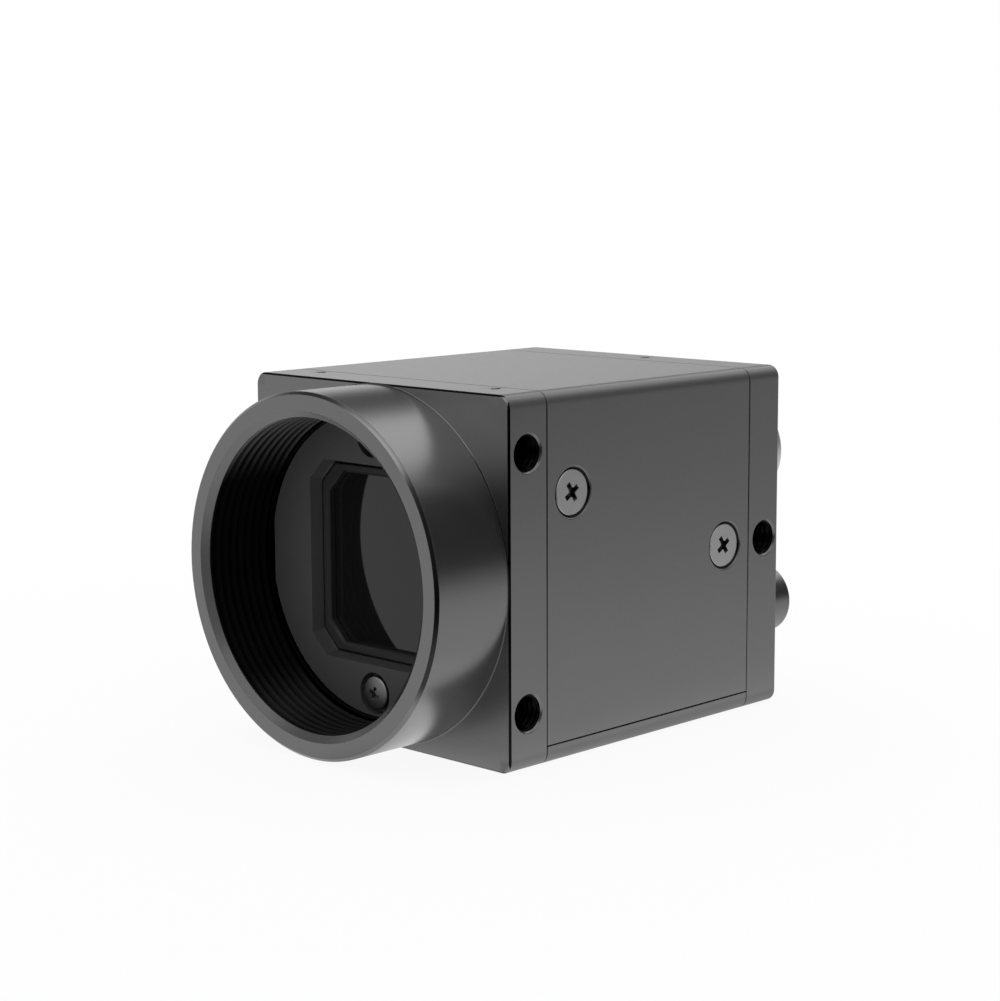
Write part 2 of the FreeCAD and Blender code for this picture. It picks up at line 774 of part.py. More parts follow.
def filterGlass():
    """The filter pane, let into the seat floor under the gasket's inner lip."""
    body = newBody("filter_glass")
    front = seatFloor + dims.glass_gap
    sketch = newSketch(body, "glassOutline", "across", front)
    octagon(sketch, glassWidth, glassHeight, dims.opening_corner)
    extrude(body, "Pad", sketch, dims.glass_thickness - dims.glass_gap)
    return body


def panHeadScrew(name, headRadius, headHeight, shankLength):
    """A screw with a round head, standing on its tip, with the head's top at z = 0."""
    body = newBody(name)
    shank = dims.stack_screw_radius - dims.fit_gap / 2
    tip = -headHeight - shankLength
    sketch = newSketch(body, f"{name}Section", "across")
    drawOutline(sketch, [(0, 0), (headRadius, 0), (headRadius, -headHeight),
                         (shank, -headHeight), (shank, tip), (0, tip)])
    turn(body, "Revolution", sketch, "V_Axis")
    crossRecess(body, dims.pan_recess_depth, dims.pan_recess_span)
    return body


def frameScrews():
    """Two pan-head screws that hold the filter frame, above and below the opening."""
    headHeight = dims.stack_head_height
    grip = dims.frame_thickness - dims.pocket_depth + dims.floor_thickness
    master = panHeadScrew("frame_screw_master", dims.frame_screw_head, headHeight, grip)
    spots = []
    y = dims.frame_setback + dims.pocket_depth - headHeight
    for side in bothSides:
        recess = turned((0, 0, 1), frameRecessTurns[side])
        rotation = turned((1, 0, 0), 90).multiply(recess)
        spots.append(((0, y, frameScrewReach * side), rotation))
    return addGroup("frame_screws", master, spots)


def board(label, front):
    """A circuit board with screw holes in two opposite corners."""
    body = newBody(label)
    sketch = newSketch(body, f"{label}Outline", "across", front)
    drawRectangle(sketch, (-boardSide, -boardTop), (boardSide, boardTop))
    drawStackHoles(sketch, dims.stack_hole_radius)
    extrude(body, "Pad", sketch, dims.board_thickness)
    breakEdges(body, "Chamfer", dims.edge_round / 2, lambda edge: runsAlong(edge, 1)
               and near(abs(edge.Vertexes[0].X), boardSide))
    return body


def sensorPackage():
    """The sensor's ceramic package with the recess for its die."""
    body = newBody("sensor_package")
    outline = newSketch(body, "packageOutline", "across", packageFront)
    drawRectangle(outline, (-dims.package_width / 2, -dims.package_height / 2),
                  (dims.package_width / 2, dims.package_height / 2))
    extrude(body, "Pad", outline, dims.package_depth)
    recess = newSketch(body, "packageRecess", "across", packageFront)
    side = dims.die_width / 2 + dims.die_margin
    top = dims.die_height / 2 + dims.die_margin
    drawRectangle(recess, (-side, -top), (side, top))
    extrude(body, "Pocket", recess, dims.die_gap + dims.die_thickness)
    return body


def sensorDie():
    low = (-dims.die_width / 2, dims.flange_focus, -dims.die_height / 2)
    return addBox("sensor_die", low, (dims.die_width, dims.die_thickness, dims.die_height))


def sensorGlass():
    """The cover glass bonded on the package's rim."""
    width = dims.package_width - dims.sensor_glass_inset * 2
    height = dims.package_height - dims.sensor_glass_inset * 2
    low = (-width / 2, packageFront - dims.sensor_glass_thickness, -height / 2)
    return addBox("sensor_glass", low, (width, dims.sensor_glass_thickness, height))


def spacers(label, front, length):
    """Two six-sided spacers that hold two boards apart at their screws."""
    body = newBody(f"{label}_master")
    sketch = newSketch(body, f"{label}Section", "across")
    drawOutline(sketch, hexagonPoints(dims.spacer_radius))
    drawCircle(sketch, 0, 0, dims.stack_hole_radius)
    extrude(body, "Pad", sketch, length)
    return addGroup(label, body, [(spot, unturned) for spot in stackSpots(front)])


def stackScrews():
    """Two long screws that clamp the boards and spacers to the front block."""
    grip = interfaceBoardBack - packageBack + dims.stack_screw_grip
    master = panHeadScrew("stack_screw_master", dims.stack_head_radius, dims.stack_head_height, grip)
    rotation = turned((1, 0, 0), -90)
    spots = [(spot, rotation) for spot in stackSpots(interfaceBoardBack + dims.stack_head_height)]
    return addGroup("stack_screws", master, spots)


def boardConnector(name, front, back, height):
    """A mated plug and socket between two boards, each with a stepped half."""
    middle = (front + back) / 2
    halves = []
    for label, start, length, step in ((f"{name}_plug", front, middle - front, 2),
                                       (f"{name}_socket", middle, back - middle, 0)):
        width = dims.connector_length - dims.connector_step * step
        depth = dims.connector_width - dims.connector_step * step
        low = (-width / 2, start, height - depth / 2)
        halves.append(addBox(label, low, (width, length, depth)))
    return halves


def chip(label, x, z, width, height, thickness, face, ahead):
    """A chip centred at x and z, standing off one face of a board."""
    start = face if ahead else face - thickness
    return addBox(label, (x - width / 2, start, z - height / 2), (width, thickness, height))


def boardChips():
    """The larger components that the boards carry."""
    return [
        chip("processor_chip", dims.processor_side, dims.processor_rise, dims.processor_span,
             dims.processor_span, dims.processor_depth, processorBoardBack, True),
        chip("memory_chip", dims.memory_side, dims.processor_rise, dims.memory_width,
             dims.memory_height, dims.memory_depth, processorBoardBack, True),
        chip("network_transformer", dims.transformer_side, dims.transformer_rise,
             dims.transformer_width, dims.transformer_height, dims.transformer_depth,
             interfaceBoardFront, False),
        chip("network_chip", dims.network_chip_side, dims.network_chip_rise,
             dims.network_chip_span, dims.network_chip_span, dims.network_chip_depth,
             interfaceBoardFront, False),
        chip("power_inductor", dims.inductor_side, dims.inductor_rise, dims.inductor_span,
             dims.inductor_span, dims.inductor_depth, interfaceBoardBack, True),
        chip("status_lamp", lightSide, dims.io_rise, dims.lamp_chip_span,
             dims.lamp_chip_span, dims.lamp_chip_height, interfaceBoardBack, True),
    ]


def jackShell():
    """The jack's folded metal sleeve, open at the board and at the plug's side."""
    body = newBody("jack_shell")
    sketch = newSketch(body, "shellSection", "across", interfaceBoardBack)
    side = dims.jack_width / 2
    wall = dims.jack_shell_wall
    low = jackTop - dims.jack_height
    drawRectangle(sketch, (-side, low), (side, jackTop))
    drawRectangle(sketch, (-side + wall, low + wall), (side - wall, jackTop - wall))
    extrude(body, "Pad", sketch, jackBack - interfaceBoardBack)
    return body


def jackBody():
    """The jack's moulded insert: plug cavity with latch steps, contact slot, lamp windows."""
    body = newBody("jack_body")
    side = dims.jack_width / 2 - dims.jack_shell_wall
    top = jackTop - dims.jack_shell_wall
    low = jackTop - dims.jack_height + dims.jack_shell_wall
    block = newSketch(body, "insertBlock", "across", interfaceBoardBack)
    drawRectangle(block, (-side, low), (side, top))
    extrude(body, "Pad", block, jackFace - interfaceBoardBack)

    cavityTop = jackTop - dims.plug_drop
    cavityLow = cavityTop - dims.plug_height
    cavity = newSketch(body, "plugCavity", "across", jackFace)
    half = dims.plug_width / 2
    step = dims.latch_width / 2
    slot = dims.latch_slot_width / 2
    latch = cavityLow - dims.latch_height
    deep = latch - dims.latch_height
    drawOutline(cavity, [(-half, cavityTop), (-half, cavityLow), (-step, cavityLow), (-step, latch),
                         (-slot, latch), (-slot, deep), (slot, deep), (slot, latch),
                         (step, latch), (step, cavityLow), (half, cavityLow), (half, cavityTop)])
    extrude(body, "Pocket", cavity, dims.plug_depth, ahead=False)

    channel = newSketch(body, "contactChannel", "across", interfaceBoardBack)
    drawRectangle(channel, (-dims.channel_width / 2, cavityTop - dims.channel_drop),
                  (dims.channel_width / 2, cavityTop + dims.channel_rise))
    extrude(body, "Pocket", channel, jackFace - interfaceBoardBack - dims.channel_wall)

    windows = newSketch(body, "lampWindows", "across", jackFace)
    for side in bothSides:
        centre = dims.lamp_reach * side
        high = top - dims.lamp_drop
        drawRectangle(windows, (centre - dims.lamp_width / 2, high - dims.lamp_height),
                      (centre + dims.lamp_width / 2, high))
    extrude(body, "Pocket", windows, jackFace - interfaceBoardBack, ahead=False)
    return body


def jackLamps():
    """The two clear light guides beside the jack's contacts."""
    top = jackTop - dims.jack_shell_wall - dims.lamp_drop - dims.fit_gap
    height = dims.lamp_height - dims.fit_gap * 2
    width = dims.lamp_width - dims.fit_gap * 2
    guides = []
    for side in bothSides:
        low = (dims.lamp_reach * side - width / 2, interfaceBoardBack, top - height)
        size = (width, jackFace - interfaceBoardBack, height)
        guides.append(addBox(f"jack_lamp_{len(guides) + 1}", low, size))
    group = doc.addObject("Part::Compound", "jack_lamps")
    group.Label = "jack_lamps"
    group.Links = guides
    return group


def jackContacts():
    """Eight spring contacts that run from the board and fold back into the cavity."""
    master = newBody("contact_master")
    thick = dims.contact_thickness
    top = jackTop - dims.plug_drop + dims.contact_rise
    bend = jackFace - dims.contact_setback
    tip = bend - dims.contact_reach
    low = top - dims.contact_drop
    sketch = newSketch(master, "contactSection", "along", -dims.contact_width / 2)
    drawOutline(sketch, [(interfaceBoardBack, top), (bend, top), (bend, top - thick),
                         (tip, low - thick), (tip, low), (bend - dims.contact_fold, top - thick),
                         (interfaceBoardBack, top - thick)])
    extrude(master, "Pad", sketch, dims.contact_width)
    first = dims.contact_pitch * (contactCount - 1) / -2
    spots = [((first + dims.contact_pitch * n, 0, 0), unturned) for n in range(contactCount)]
    return addGroup("jack_contacts", master, spots)


def ioShell():
    """The round connector's turned shell: barrel outside, threaded neck through the wall."""
    body = newBody("io_shell")
    barrelBack = dims.io_barrel_length
    nutFront = -dims.rear_depth - dims.io_nut_length
    lip = dims.io_lip_chamfer
    sketch = newSketch(body, "shellProfile", "along")
    drawOutline(sketch, [(nutFront, dims.io_bore_radius), (nutFront, dims.io_neck_radius),
                         (0, dims.io_neck_radius), (0, dims.io_barrel_radius),
                         (barrelBack - lip, dims.io_barrel_radius),
                         (barrelBack, dims.io_barrel_radius - lip),
                         (barrelBack, dims.io_bore_radius)])
    turn(body, "Revolution", sketch, "H_Axis")
    place(body, ioSide, bodyBack, dims.io_rise)
    return body


def ioInsert():
    """The insulator inside the round connector, bored for its six pins."""
    body = newBody("io_insert")
    sketch = newSketch(body, "insertDisc", "across")
    drawCircle(sketch, 0, 0, dims.io_bore_radius)
    extrude(body, "Pad", sketch, dims.io_insert_length, ahead=False)
    hole = newSketch(body, "pinHole", "across")
    drawCircle(hole, dims.io_pin_circle, 0, dims.io_pin_radius)
    pocket = extrude(body, "Pocket", hole, dims.io_insert_length, ahead=False)
    pattern = body.newObject("PartDesign::PolarPattern", "pinHoles")
    pattern.Originals = [pocket]
    pattern.Axis = (hole, ["N_Axis"])
    pattern.Angle = 360
    pattern.Occurrences = pinCount
    body.Tip = pattern
    place(body, ioSide, bodyBack + dims.io_barrel_length - dims.io_socket_depth, dims.io_rise)
    return body


def ioPins():
    """Six pins from the interface board through the insert into the socket."""
    master = doc.addObject("Part::Cylinder", "io_pin_master")
    setBound(master, "Radius", dims.io_pin_radius)
    insertBack = bodyBack + dims.io_barrel_length - dims.io_socket_depth
    setBound(master, "Height", insertBack + dims.io_pin_reach - interfaceBoardBack)
    lying = turned((1, 0, 0), -90)
    spots = [((ioSide + x, interfaceBoardBack, dims.io_rise + z), lying)
             for x, z in hexagonPoints(dims.io_pin_circle)]
    return addGroup("io_pins", master, spots)


def ioNut():
    """The six-sided nut that clamps the round connector from inside."""
    body = newBody("io_nut")
    sketch = newSketch(body, "nutSection", "across")
    drawOutline(sketch, hexagonPoints(dims.io_nut_radius))
    drawCircle(sketch, 0, 0, dims.io_neck_radius + dims.fit_gap / 2)
    extrude(body, "Pad", sketch, dims.io_nut_length, ahead=False)
    place(body, ioSide, rearFront, dims.io_rise)
    return body


def lightPipe():
    """The clear rod that carries the status light out through the rear."""
    body = newBody("light_pipe")
    front = interfaceBoardBack + dims.lamp_chip_height
    collar = dims.light_collar_radius
    back = bodyBack + dims.light_proud
    sketch = newSketch(body, "pipeProfile", "along")
    drawOutline(sketch, [(front, 0), (front, collar), (front + collar, collar),
                         (front + collar, dims.light_radius), (back, dims.light_radius), (back, 0)])
    turn(body, "Revolution", sketch, "H_Axis")
    place(body, lightSide, 0, dims.io_rise)
    return body


flatMaster = flatHeadScrew()
exported += [frontBlock(), rearBlock(), topCover(), basePlate()]
exported += [coverScrews(flatMaster), baseScrews(flatMaster)]
exported += [filterFrame(), filterGasket(), filterGlass(), frameScrews()]
exported += [sensorPackage(), sensorDie(), sensorGlass()]
exported += [board("sensor_board", packageBack), board("processor_board", processorBoardFront),
             board("interface_board", interfaceBoardFront)]
exported += [spacers("front_spacers", sensorBoardBack, dims.front_spacer_length),
             spacers("rear_spacers", processorBoardBack, dims.rear_spacer_length), stackScrews()]
exported += boardConnector("sensor_link", sensorBoardBack, processorBoardFront,
                           dims.sensor_link_rise)
exported += boardConnector("interface_link", processorBoardBack, interfaceBoardFront,
                           dims.interface_link_rise)
exported += boardChips()
exported += [jackShell(), jackBody(), jackLamps(), jackContacts()]
exported += [ioShell(), ioInsert(), ioPins(), ioNut(), lightPipe()]
doc.recompute()

faults = [item.Name for item in doc.Objects if {"Invalid", "Error"} & set(item.State)]
faults += [item.Label for item in exported if item.Shape.isNull() or not item.Shape.isValid()]
faults += [item.Name for item in cutFeatures
           if item.Shape.Volume > item.BaseFeature.Shape.Volume - 1e-6]
if faults:
    raise SystemExit(f"not built: {sorted(set(faults))}")

os.makedirs("parts", exist_ok=True)
for item in exported:
    item.Shape.exportStep(f"parts/{item.Label}.step")
    print(item.Label, len(item.Shape.Solids), round(item.Shape.Volume, 2))
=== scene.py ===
from math import cos, pi, radians, sin

import bmesh
import bpy
import numpy as np
from mathutils import Matrix, Vector


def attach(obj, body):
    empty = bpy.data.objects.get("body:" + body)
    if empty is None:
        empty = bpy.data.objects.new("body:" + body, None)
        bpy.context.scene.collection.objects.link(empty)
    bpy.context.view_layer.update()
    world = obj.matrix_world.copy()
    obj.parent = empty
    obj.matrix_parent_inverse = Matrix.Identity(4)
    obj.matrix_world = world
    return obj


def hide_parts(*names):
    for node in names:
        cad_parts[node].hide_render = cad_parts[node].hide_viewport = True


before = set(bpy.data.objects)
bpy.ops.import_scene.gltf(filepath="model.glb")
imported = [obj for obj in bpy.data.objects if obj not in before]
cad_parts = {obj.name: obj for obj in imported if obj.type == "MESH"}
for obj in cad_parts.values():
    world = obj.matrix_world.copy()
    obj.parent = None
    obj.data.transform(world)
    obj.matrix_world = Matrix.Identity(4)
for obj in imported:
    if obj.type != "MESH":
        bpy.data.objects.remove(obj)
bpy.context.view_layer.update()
print("stage: frame loaded,", len(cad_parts), "nodes")

# lengths are written in millimetres and become metres when a mesh is finished
millimetre = 0.001
bodyHalf = 14.5  # half the body's width and height


def addCamera():
    view = dict(place=(130.009, -112.604, 32.041), azimuth=44.117, elevation=8.655,
                roll=-0.276, lens=81.368, sensor=36.0, clipStart=0.005, clipEnd=20.0)
    azimuth, elevation, roll = (radians(view[key]) for key in ("azimuth", "elevation", "roll"))
    back = Vector((sin(azimuth) * cos(elevation), -cos(azimuth) * cos(elevation),
                   sin(elevation)))
    right = Vector((0, 0, 1)).cross(back).normalized()
    up = back.cross(right)
    rolledRight = right * cos(roll) + up * sin(roll)
    rolledUp = up * cos(roll) - right * sin(roll)
    turn = Matrix((rolledRight, rolledUp, back)).transposed().to_4x4()
    data = bpy.data.cameras.new("viewCamera")
    data.lens, data.sensor_width, data.sensor_fit = view["lens"], view["sensor"], "AUTO"
    data.clip_start, data.clip_end = view["clipStart"], view["clipEnd"]
    camera = bpy.data.objects.new("viewCamera", data)
    bpy.context.collection.objects.link(camera)
    camera.matrix_world = Matrix.Translation(Vector(view["place"]) * millimetre) @ turn
    bpy.context.scene.camera = camera


class Socket:
    # one output of a node; plain arithmetic on it adds Math nodes
    def __init__(self, paint, output):
        self.paint, self.output = paint, output

    def __add__(self, other):
        return self.paint.maths("ADD", self, other)

    def __sub__(self, other):
        return self.paint.maths("SUBTRACT", self, other)

    def __rsub__(self, other):
        return self.paint.maths("SUBTRACT", other, self)

    def __mul__(self, other):
        return self.paint.maths("MULTIPLY", self, other)

    def __gt__(self, other):
        return self.paint.maths("GREATER_THAN", self, other)

    def __lt__(self, other):
        return self.paint.maths("LESS_THAN", self, other)

    def __neg__(self):
        return self.paint.maths("SUBTRACT", 0.0, self)

    def __abs__(self):
        return self.paint.maths("ABSOLUTE", self)

    __radd__ = __add__
    __rmul__ = __mul__


class Paint:
    # a material or a world, filled through node(): type, settings first, then sockets
    def __init__(self, owner):
        self.owner = owner
        owner.use_nodes = True
        self.tree = owner.node_tree
        self.tree.nodes.clear()

    def node(self, kind, settings=None, inputs=None):
        made = self.tree.nodes.new(kind)
        for key, value in (settings or {}).items():
            setattr(made, key, value)
        for key, value in (inputs or {}).items():
            if isinstance(value, Socket):
                self.tree.links.new(value.output, made.inputs[key])
            else:
                made.inputs[key].default_value = value
        return made

    def read(self, node, output=0):
        return Socket(self, node.outputs[output])

    def maths(self, operation, first, second=0.0):
        made = self.node("ShaderNodeMath", {"operation": operation}, {0: first, 1: second})
        return self.read(made)

    def distance(self, first, second):
        return self.maths("SQRT", first * first + second * second)

    def smooth(self, value, low, high):
        # 0 below low, 1 above high, eased between
        made = self.node("ShaderNodeMapRange", {"interpolation_type": "SMOOTHSTEP"},
                         {"Value": value, "From Min": low, "From Max": high})
        return self.read(made)

    def window(self, value, rise, fall):
        # 1 between two eased ramps, each given as its start and end
        return self.smooth(value, *rise) * (1 - self.smooth(value, *fall))

    def sway(self, pattern, amount):
        # a pattern of 0 to 1 as a swing of half the amount either way
        return (pattern - 0.5) * amount

    def mix(self, amount, first, second):
        made = self.node("ShaderNodeMix", {"data_type": "RGBA"},
                         {0: amount, 6: first, 7: second})
        return self.read(made, 2)

    def axes(self):
        # the piece's own coordinates, in millimetres
        coords = self.node("ShaderNodeTexCoord")
        scaled = self.node("ShaderNodeVectorMath", {"operation": "SCALE"},
                           {0: self.read(coords, "Object"), "Scale": 1 / millimetre})
        self.place = self.read(scaled)
        split = self.node("ShaderNodeSeparateXYZ", inputs={0: self.place})
        return [self.read(split, n) for n in range(3)]

    def noise(self, scale, detail=2.0, rough=0.5, vector=None):
        made = self.node("ShaderNodeTexNoise", inputs={
            "Vector": vector or self.place, "Scale": scale, "Detail": detail,
            "Roughness": rough})
        return self.read(made)

    def vector(self, x, y, z):
        return self.read(self.node("ShaderNodeCombineXYZ", inputs={0: x, 1: y, 2: z}))

    def bump(self, height, strength, distance):
        made = self.node("ShaderNodeBump", inputs={
            "Height": height, "Strength": strength, "Distance": distance * millimetre})
        return self.read(made)

    def surface(self, **sockets):
        shader = self.node("ShaderNodeBsdfPrincipled", inputs=sockets)
        self.node("ShaderNodeOutputMaterial", inputs={"Surface": self.read(shader)})
        return self.owner


def grey(tone, warm=0.0):
    return (tone * (1 + warm), tone, tone * (1 - warm), 1.0)


def shades(colour, dark, light):
    # one colour times two factors, for the two ends of a pattern
    return [tuple(part * factor for part in colour[:3]) + (1.0,) for factor in (dark, light)]


def newPaint(name):
    return Paint(bpy.data.materials.new(name))


def anodisedPaint(name, tone, rough, shadedWells=()):
    # bead-blasted and anodised: fine even grain and a slow cloud in tone, with a painted
    # highlight on the top rounds and painted shade inside the wells given
    look = dict(cloud=0.5, worn=0.2, fine=0.3, dark=0.95, light=1.05, sway=0.06,
                bump=0.1, grain=0.04)
    paint = newPaint(name)
    x, y, z = paint.axes()
    fine = paint.noise(9.0, detail=3.0, rough=0.6)
    cloud = paint.noise(0.16)
    worn = paint.noise(1.3, detail=4.0, rough=0.65)
    amount = cloud * look["cloud"] + worn * look["worn"] + fine * look["fine"]
    colour = paint.mix(amount, *shades(grey(tone), look["dark"], look["light"]))
    # painted highlight on the top rounds, then painted shade in the wells
    colour = paintedRoundHighlight(paint, colour, x, z, tone)
    colour = paintedWellShade(paint, colour, (x, y, z), shadedWells)
    roughness = paint.sway(fine, look["sway"]) + paint.sway(worn, look["sway"]) + rough
    return paint.surface(**{"Base Color": colour, "Metallic": 1.0,
                            "Roughness": roughness + cornerRough(paint, x, z),
                            "Normal": paint.bump(fine, look["bump"], look["grain"])})


def paintedRoundHighlight(paint, colour, x, z, tone):
    # painted highlight: the upper border of the two top rounds, a little lighter
    border = dict(side=(13.45, 13.7), rise=(14.3, 14.42), lift=1.5)
    area = paint.smooth(abs(x), *border["side"]) * paint.smooth(z, *border["rise"])
    return paint.mix(area, colour, grey(tone * border["lift"]))


def cornerRough(paint, x, z):
    # added roughness on the rounds along the body's four long edges
    band = dict(reach=(13.2, 13.7), rough=0.2)
    inner = paint.maths("MINIMUM", abs(x), abs(z))
    return paint.smooth(inner, *band["reach"]) * band["rough"]


def paintedWellShade(paint, colour, place, shadedWells):
    # painted shade: the insides of side holes, screw sinks and recesses darkened, each well given
    # as (y, |z|, radius, the half width that it starts below, shade tone)
    x, y, z = place
    side, rise = abs(x), abs(z)
    for wellY, wellZ, radius, below, tone in shadedWells:
        off = paint.distance(y - wellY, rise - wellZ)
        colour = paint.mix((side < below) * (off < radius), colour, grey(tone))
    return colour


def mountPaint(name, body, shadedWells):
    # the front block: blasted plate with a painted highlight on the top rounds, painted shade
    # along the face's lower border and in the wells given, turned ring with circular tool lines,
    # lead-in cone that is plain metal on its right and elsewhere matt with painted light, lighter
    # towards the top, bore painted near black as shade, face edges painted near black as a dark
    # reflection, and an outer edge and a root of the ring with painted reflections that change on
    # the way round; sectors in degrees from +X towards +Z
    look = dict(dark=0.95, light=1.05, cloud=0.6, fine=0.4, sway=0.08, bump=0.1, grain=0.03,
                lowFall=(11.5, 14.0), lowShade=0.7,
                ringTone=0.22, ringDark=0.98, ringLight=1.02, ringRough=0.27,
                ringMargin=0.4, ringEnd=0.02, lineScale=14.0, lineSway=0.015, lineHeight=0.04,
                boreShade=0.006, boreStart=0.535, boreRadius=12.76,
                leadTone=0.28, leadDark=0.085, leadLight=0.165, leadRadius=12.96,
                leadRise=(-1.0, 9.0), leadFaced=(-10.0, -6.0),
                breakTone=0.2, breakLow=0.34, breakShaded=0.05, breakFall=(4.0, 9.0),
                breakSector=((-38, -26), (34, 44)), breakDepth=0.26, breakRadius=14.14,
                rootTone=0.13, rootSector=((2, 10), (38, 46)), rootStep=0.002,
                edgeDarkReflection=0.014, hair=0.005, slack=0.01)
    paint = newPaint(name)
    x, y, z = paint.axes()
    radius = paint.distance(x, z)
    wide = paint.maths("MAXIMUM", abs(x), abs(z))
    turn = paint.maths("ARCTAN2", z, x) * (180 / pi)

    # areas
    face, chamfer, ring = body["faceY"], body["chamfer"], body["ringRadius"]
    hair, slack, boreStart = look["hair"], look["slack"], look["boreStart"]
    onRing = (y < face - look["ringEnd"]) * (radius < ring + look["ringMargin"])
    inBore = (y > boreStart) * (radius < look["boreRadius"])
    onLead = (y < boreStart) * (radius < look["leadRadius"]) * (y > hair)
    onBreak = (y < look["breakDepth"]) * (radius > look["breakRadius"]) * (y > hair)
    onRim = (y > face - hair) * (y < face + chamfer + slack) \
        * (wide > bodyHalf - chamfer - slack)
    onRoot = (y > face - body["fillet"]) * (y < face - hair) \
        * (radius > ring + look["rootStep"])
    # painted shade: the face darker towards its lower border
    low = paint.smooth(-z, *look["lowFall"]) * (y < face + hair)

    # tones
    fine = paint.noise(9.0, detail=3.0, rough=0.6)
    cloud = paint.noise(0.16)
    around = paint.vector(radius * look["lineScale"], y * look["lineScale"], 0.0)
    lines = paint.noise(1.0, detail=4.0, rough=0.7, vector=around)
    blasted = paint.mix(cloud * look["cloud"] + fine * look["fine"],
                        *shades(grey(body["tone"]), look["dark"], look["light"]))
    blasted = paintedRoundHighlight(paint, blasted, x, z, body["tone"])
    turned = paint.mix(lines, *shades(grey(look["ringTone"]), look["ringDark"],
                                      look["ringLight"]))
    # painted light on the lead-in cone: matt and lighter towards the top, plain metal on the
    # right
    lead = paint.mix(paint.smooth(z, *look["leadRise"]),
                     grey(look["leadDark"]), grey(look["leadLight"]))
    faced = paint.smooth(-x, *look["leadFaced"])
    lead = paint.mix(faced, grey(look["leadTone"]), lead)
    # painted reflection on the ring's outer edge: lighter towards the bottom, dark on the right
    broken = paint.mix(paint.smooth(-z, *look["breakFall"]),
                       grey(look["breakTone"]), grey(look["breakLow"]))
    broken = paint.mix(paint.window(turn, *look["breakSector"]), broken,
                       grey(look["breakShaded"]))
    # painted reflection on the ring's root: dark on the upper right, lighter elsewhere
    root = paint.mix(paint.window(turn, *look["rootSector"]),
                     grey(look["rootTone"]), grey(look["edgeDarkReflection"]))
    colour = paint.mix(low, blasted, grey(body["tone"] * look["lowShade"]))
    # bore painted near black as shade; face edges painted near black as a dark reflection
    for area, tone in ((onRing, turned), (inBore, grey(look["boreShade"])), (onLead, lead),
                       (onBreak, broken), (onRim, grey(look["edgeDarkReflection"])), (onRoot, root)):
        colour = paint.mix(area, colour, tone)
    colour = paintedWellShade(paint, colour, (x, y, z), shadedWells)

    blastedRough = paint.sway(fine, look["sway"]) + body["rough"] + cornerRough(paint, x, z)
    turnedRough = paint.sway(lines, look["lineSway"]) + look["ringRough"]
    height = onRing * lines * look["lineHeight"] + (1 - onRing) * fine
    return paint.surface(**{"Base Color": colour, "Metallic": 1 - onLead * faced,
                            "Roughness": onRing * turnedRough + (1 - onRing) * blastedRough,
                            "Normal": paint.bump(height, look["bump"], look["grain"])})


def steelPaint(name, tone, rough=0.3, warm=0.0, shadedWells=()):
    # plated steel: faint cloud and fine scuffs, with painted shade inside any wells given
    look = dict(cloud=0.6, scuffs=0.4, dark=0.82, light=1.12, sway=0.2, bump=0.15, grain=0.02)
    paint = newPaint(name)
    place = paint.axes()
    cloud = paint.noise(0.8, detail=3.0)
    scuffs = paint.noise(6.0, detail=4.0, rough=0.7)
    colour = paint.mix(cloud * look["cloud"] + scuffs * look["scuffs"],
                       *shades(grey(tone, warm), look["dark"], look["light"]))
    # painted shade inside the wells
    return paint.surface(**{"Base Color": paintedWellShade(paint, colour, place, shadedWells),
                            "Metallic": 1.0,
                            "Roughness": paint.sway(scuffs, look["sway"]) + rough,
                            "Normal": paint.bump(scuffs, look["bump"], look["grain"])})


def mattePaint(name, colour, rough, scale=5.0, gloss=0.5):
    # moulded plastic, rubber or ceramic: a fine leathery grain
    look = dict(dark=0.85, light=1.15, sway=0.15, bump=0.3, grain=0.03)
    paint = newPaint(name)
    paint.axes()
    fine = paint.noise(scale, detail=3.0, rough=0.6)
    cloud = paint.noise(0.4)
    mixed = paint.mix(fine * 0.5 + cloud * 0.5, *shades(colour, look["dark"], look["light"]))
    return paint.surface(**{"Base Color": mixed,
                            "Roughness": paint.sway(fine, look["sway"]) + rough,
                            "Specular IOR Level": gloss,
                            "Normal": paint.bump(fine, look["bump"], look["grain"])})


def gasketPaint(name):
    # soft black rubber, its outer border in the deep shade of the seam round it
    look = dict(tone=0.024, dark=0.85, light=1.15, seam=0.001, halfX=6.94, halfZ=7.59,
                corner=12.95, rough=0.55, gloss=0.25, sway=0.15, bump=0.3, grain=0.03)
    paint = newPaint(name)
    side, rise = (abs(axis) for axis in paint.axes()[::2])
    border = paint.maths("MAXIMUM", side > look["halfX"], rise > look["halfZ"])
    border = paint.maths("MAXIMUM", border, side + rise > look["corner"])
    fine = paint.noise(5.0, detail=3.0, rough=0.6)
    mixed = paint.mix(fine, *shades(grey(look["tone"]), look["dark"], look["light"]))
    return paint.surface(**{"Base Color": paint.mix(border, mixed, grey(look["seam"])),
                            "Roughness": paint.sway(fine, look["sway"]) + look["rough"],
                            "Specular IOR Level": look["gloss"],
                            "Normal": paint.bump(fine, look["bump"], look["grain"])})


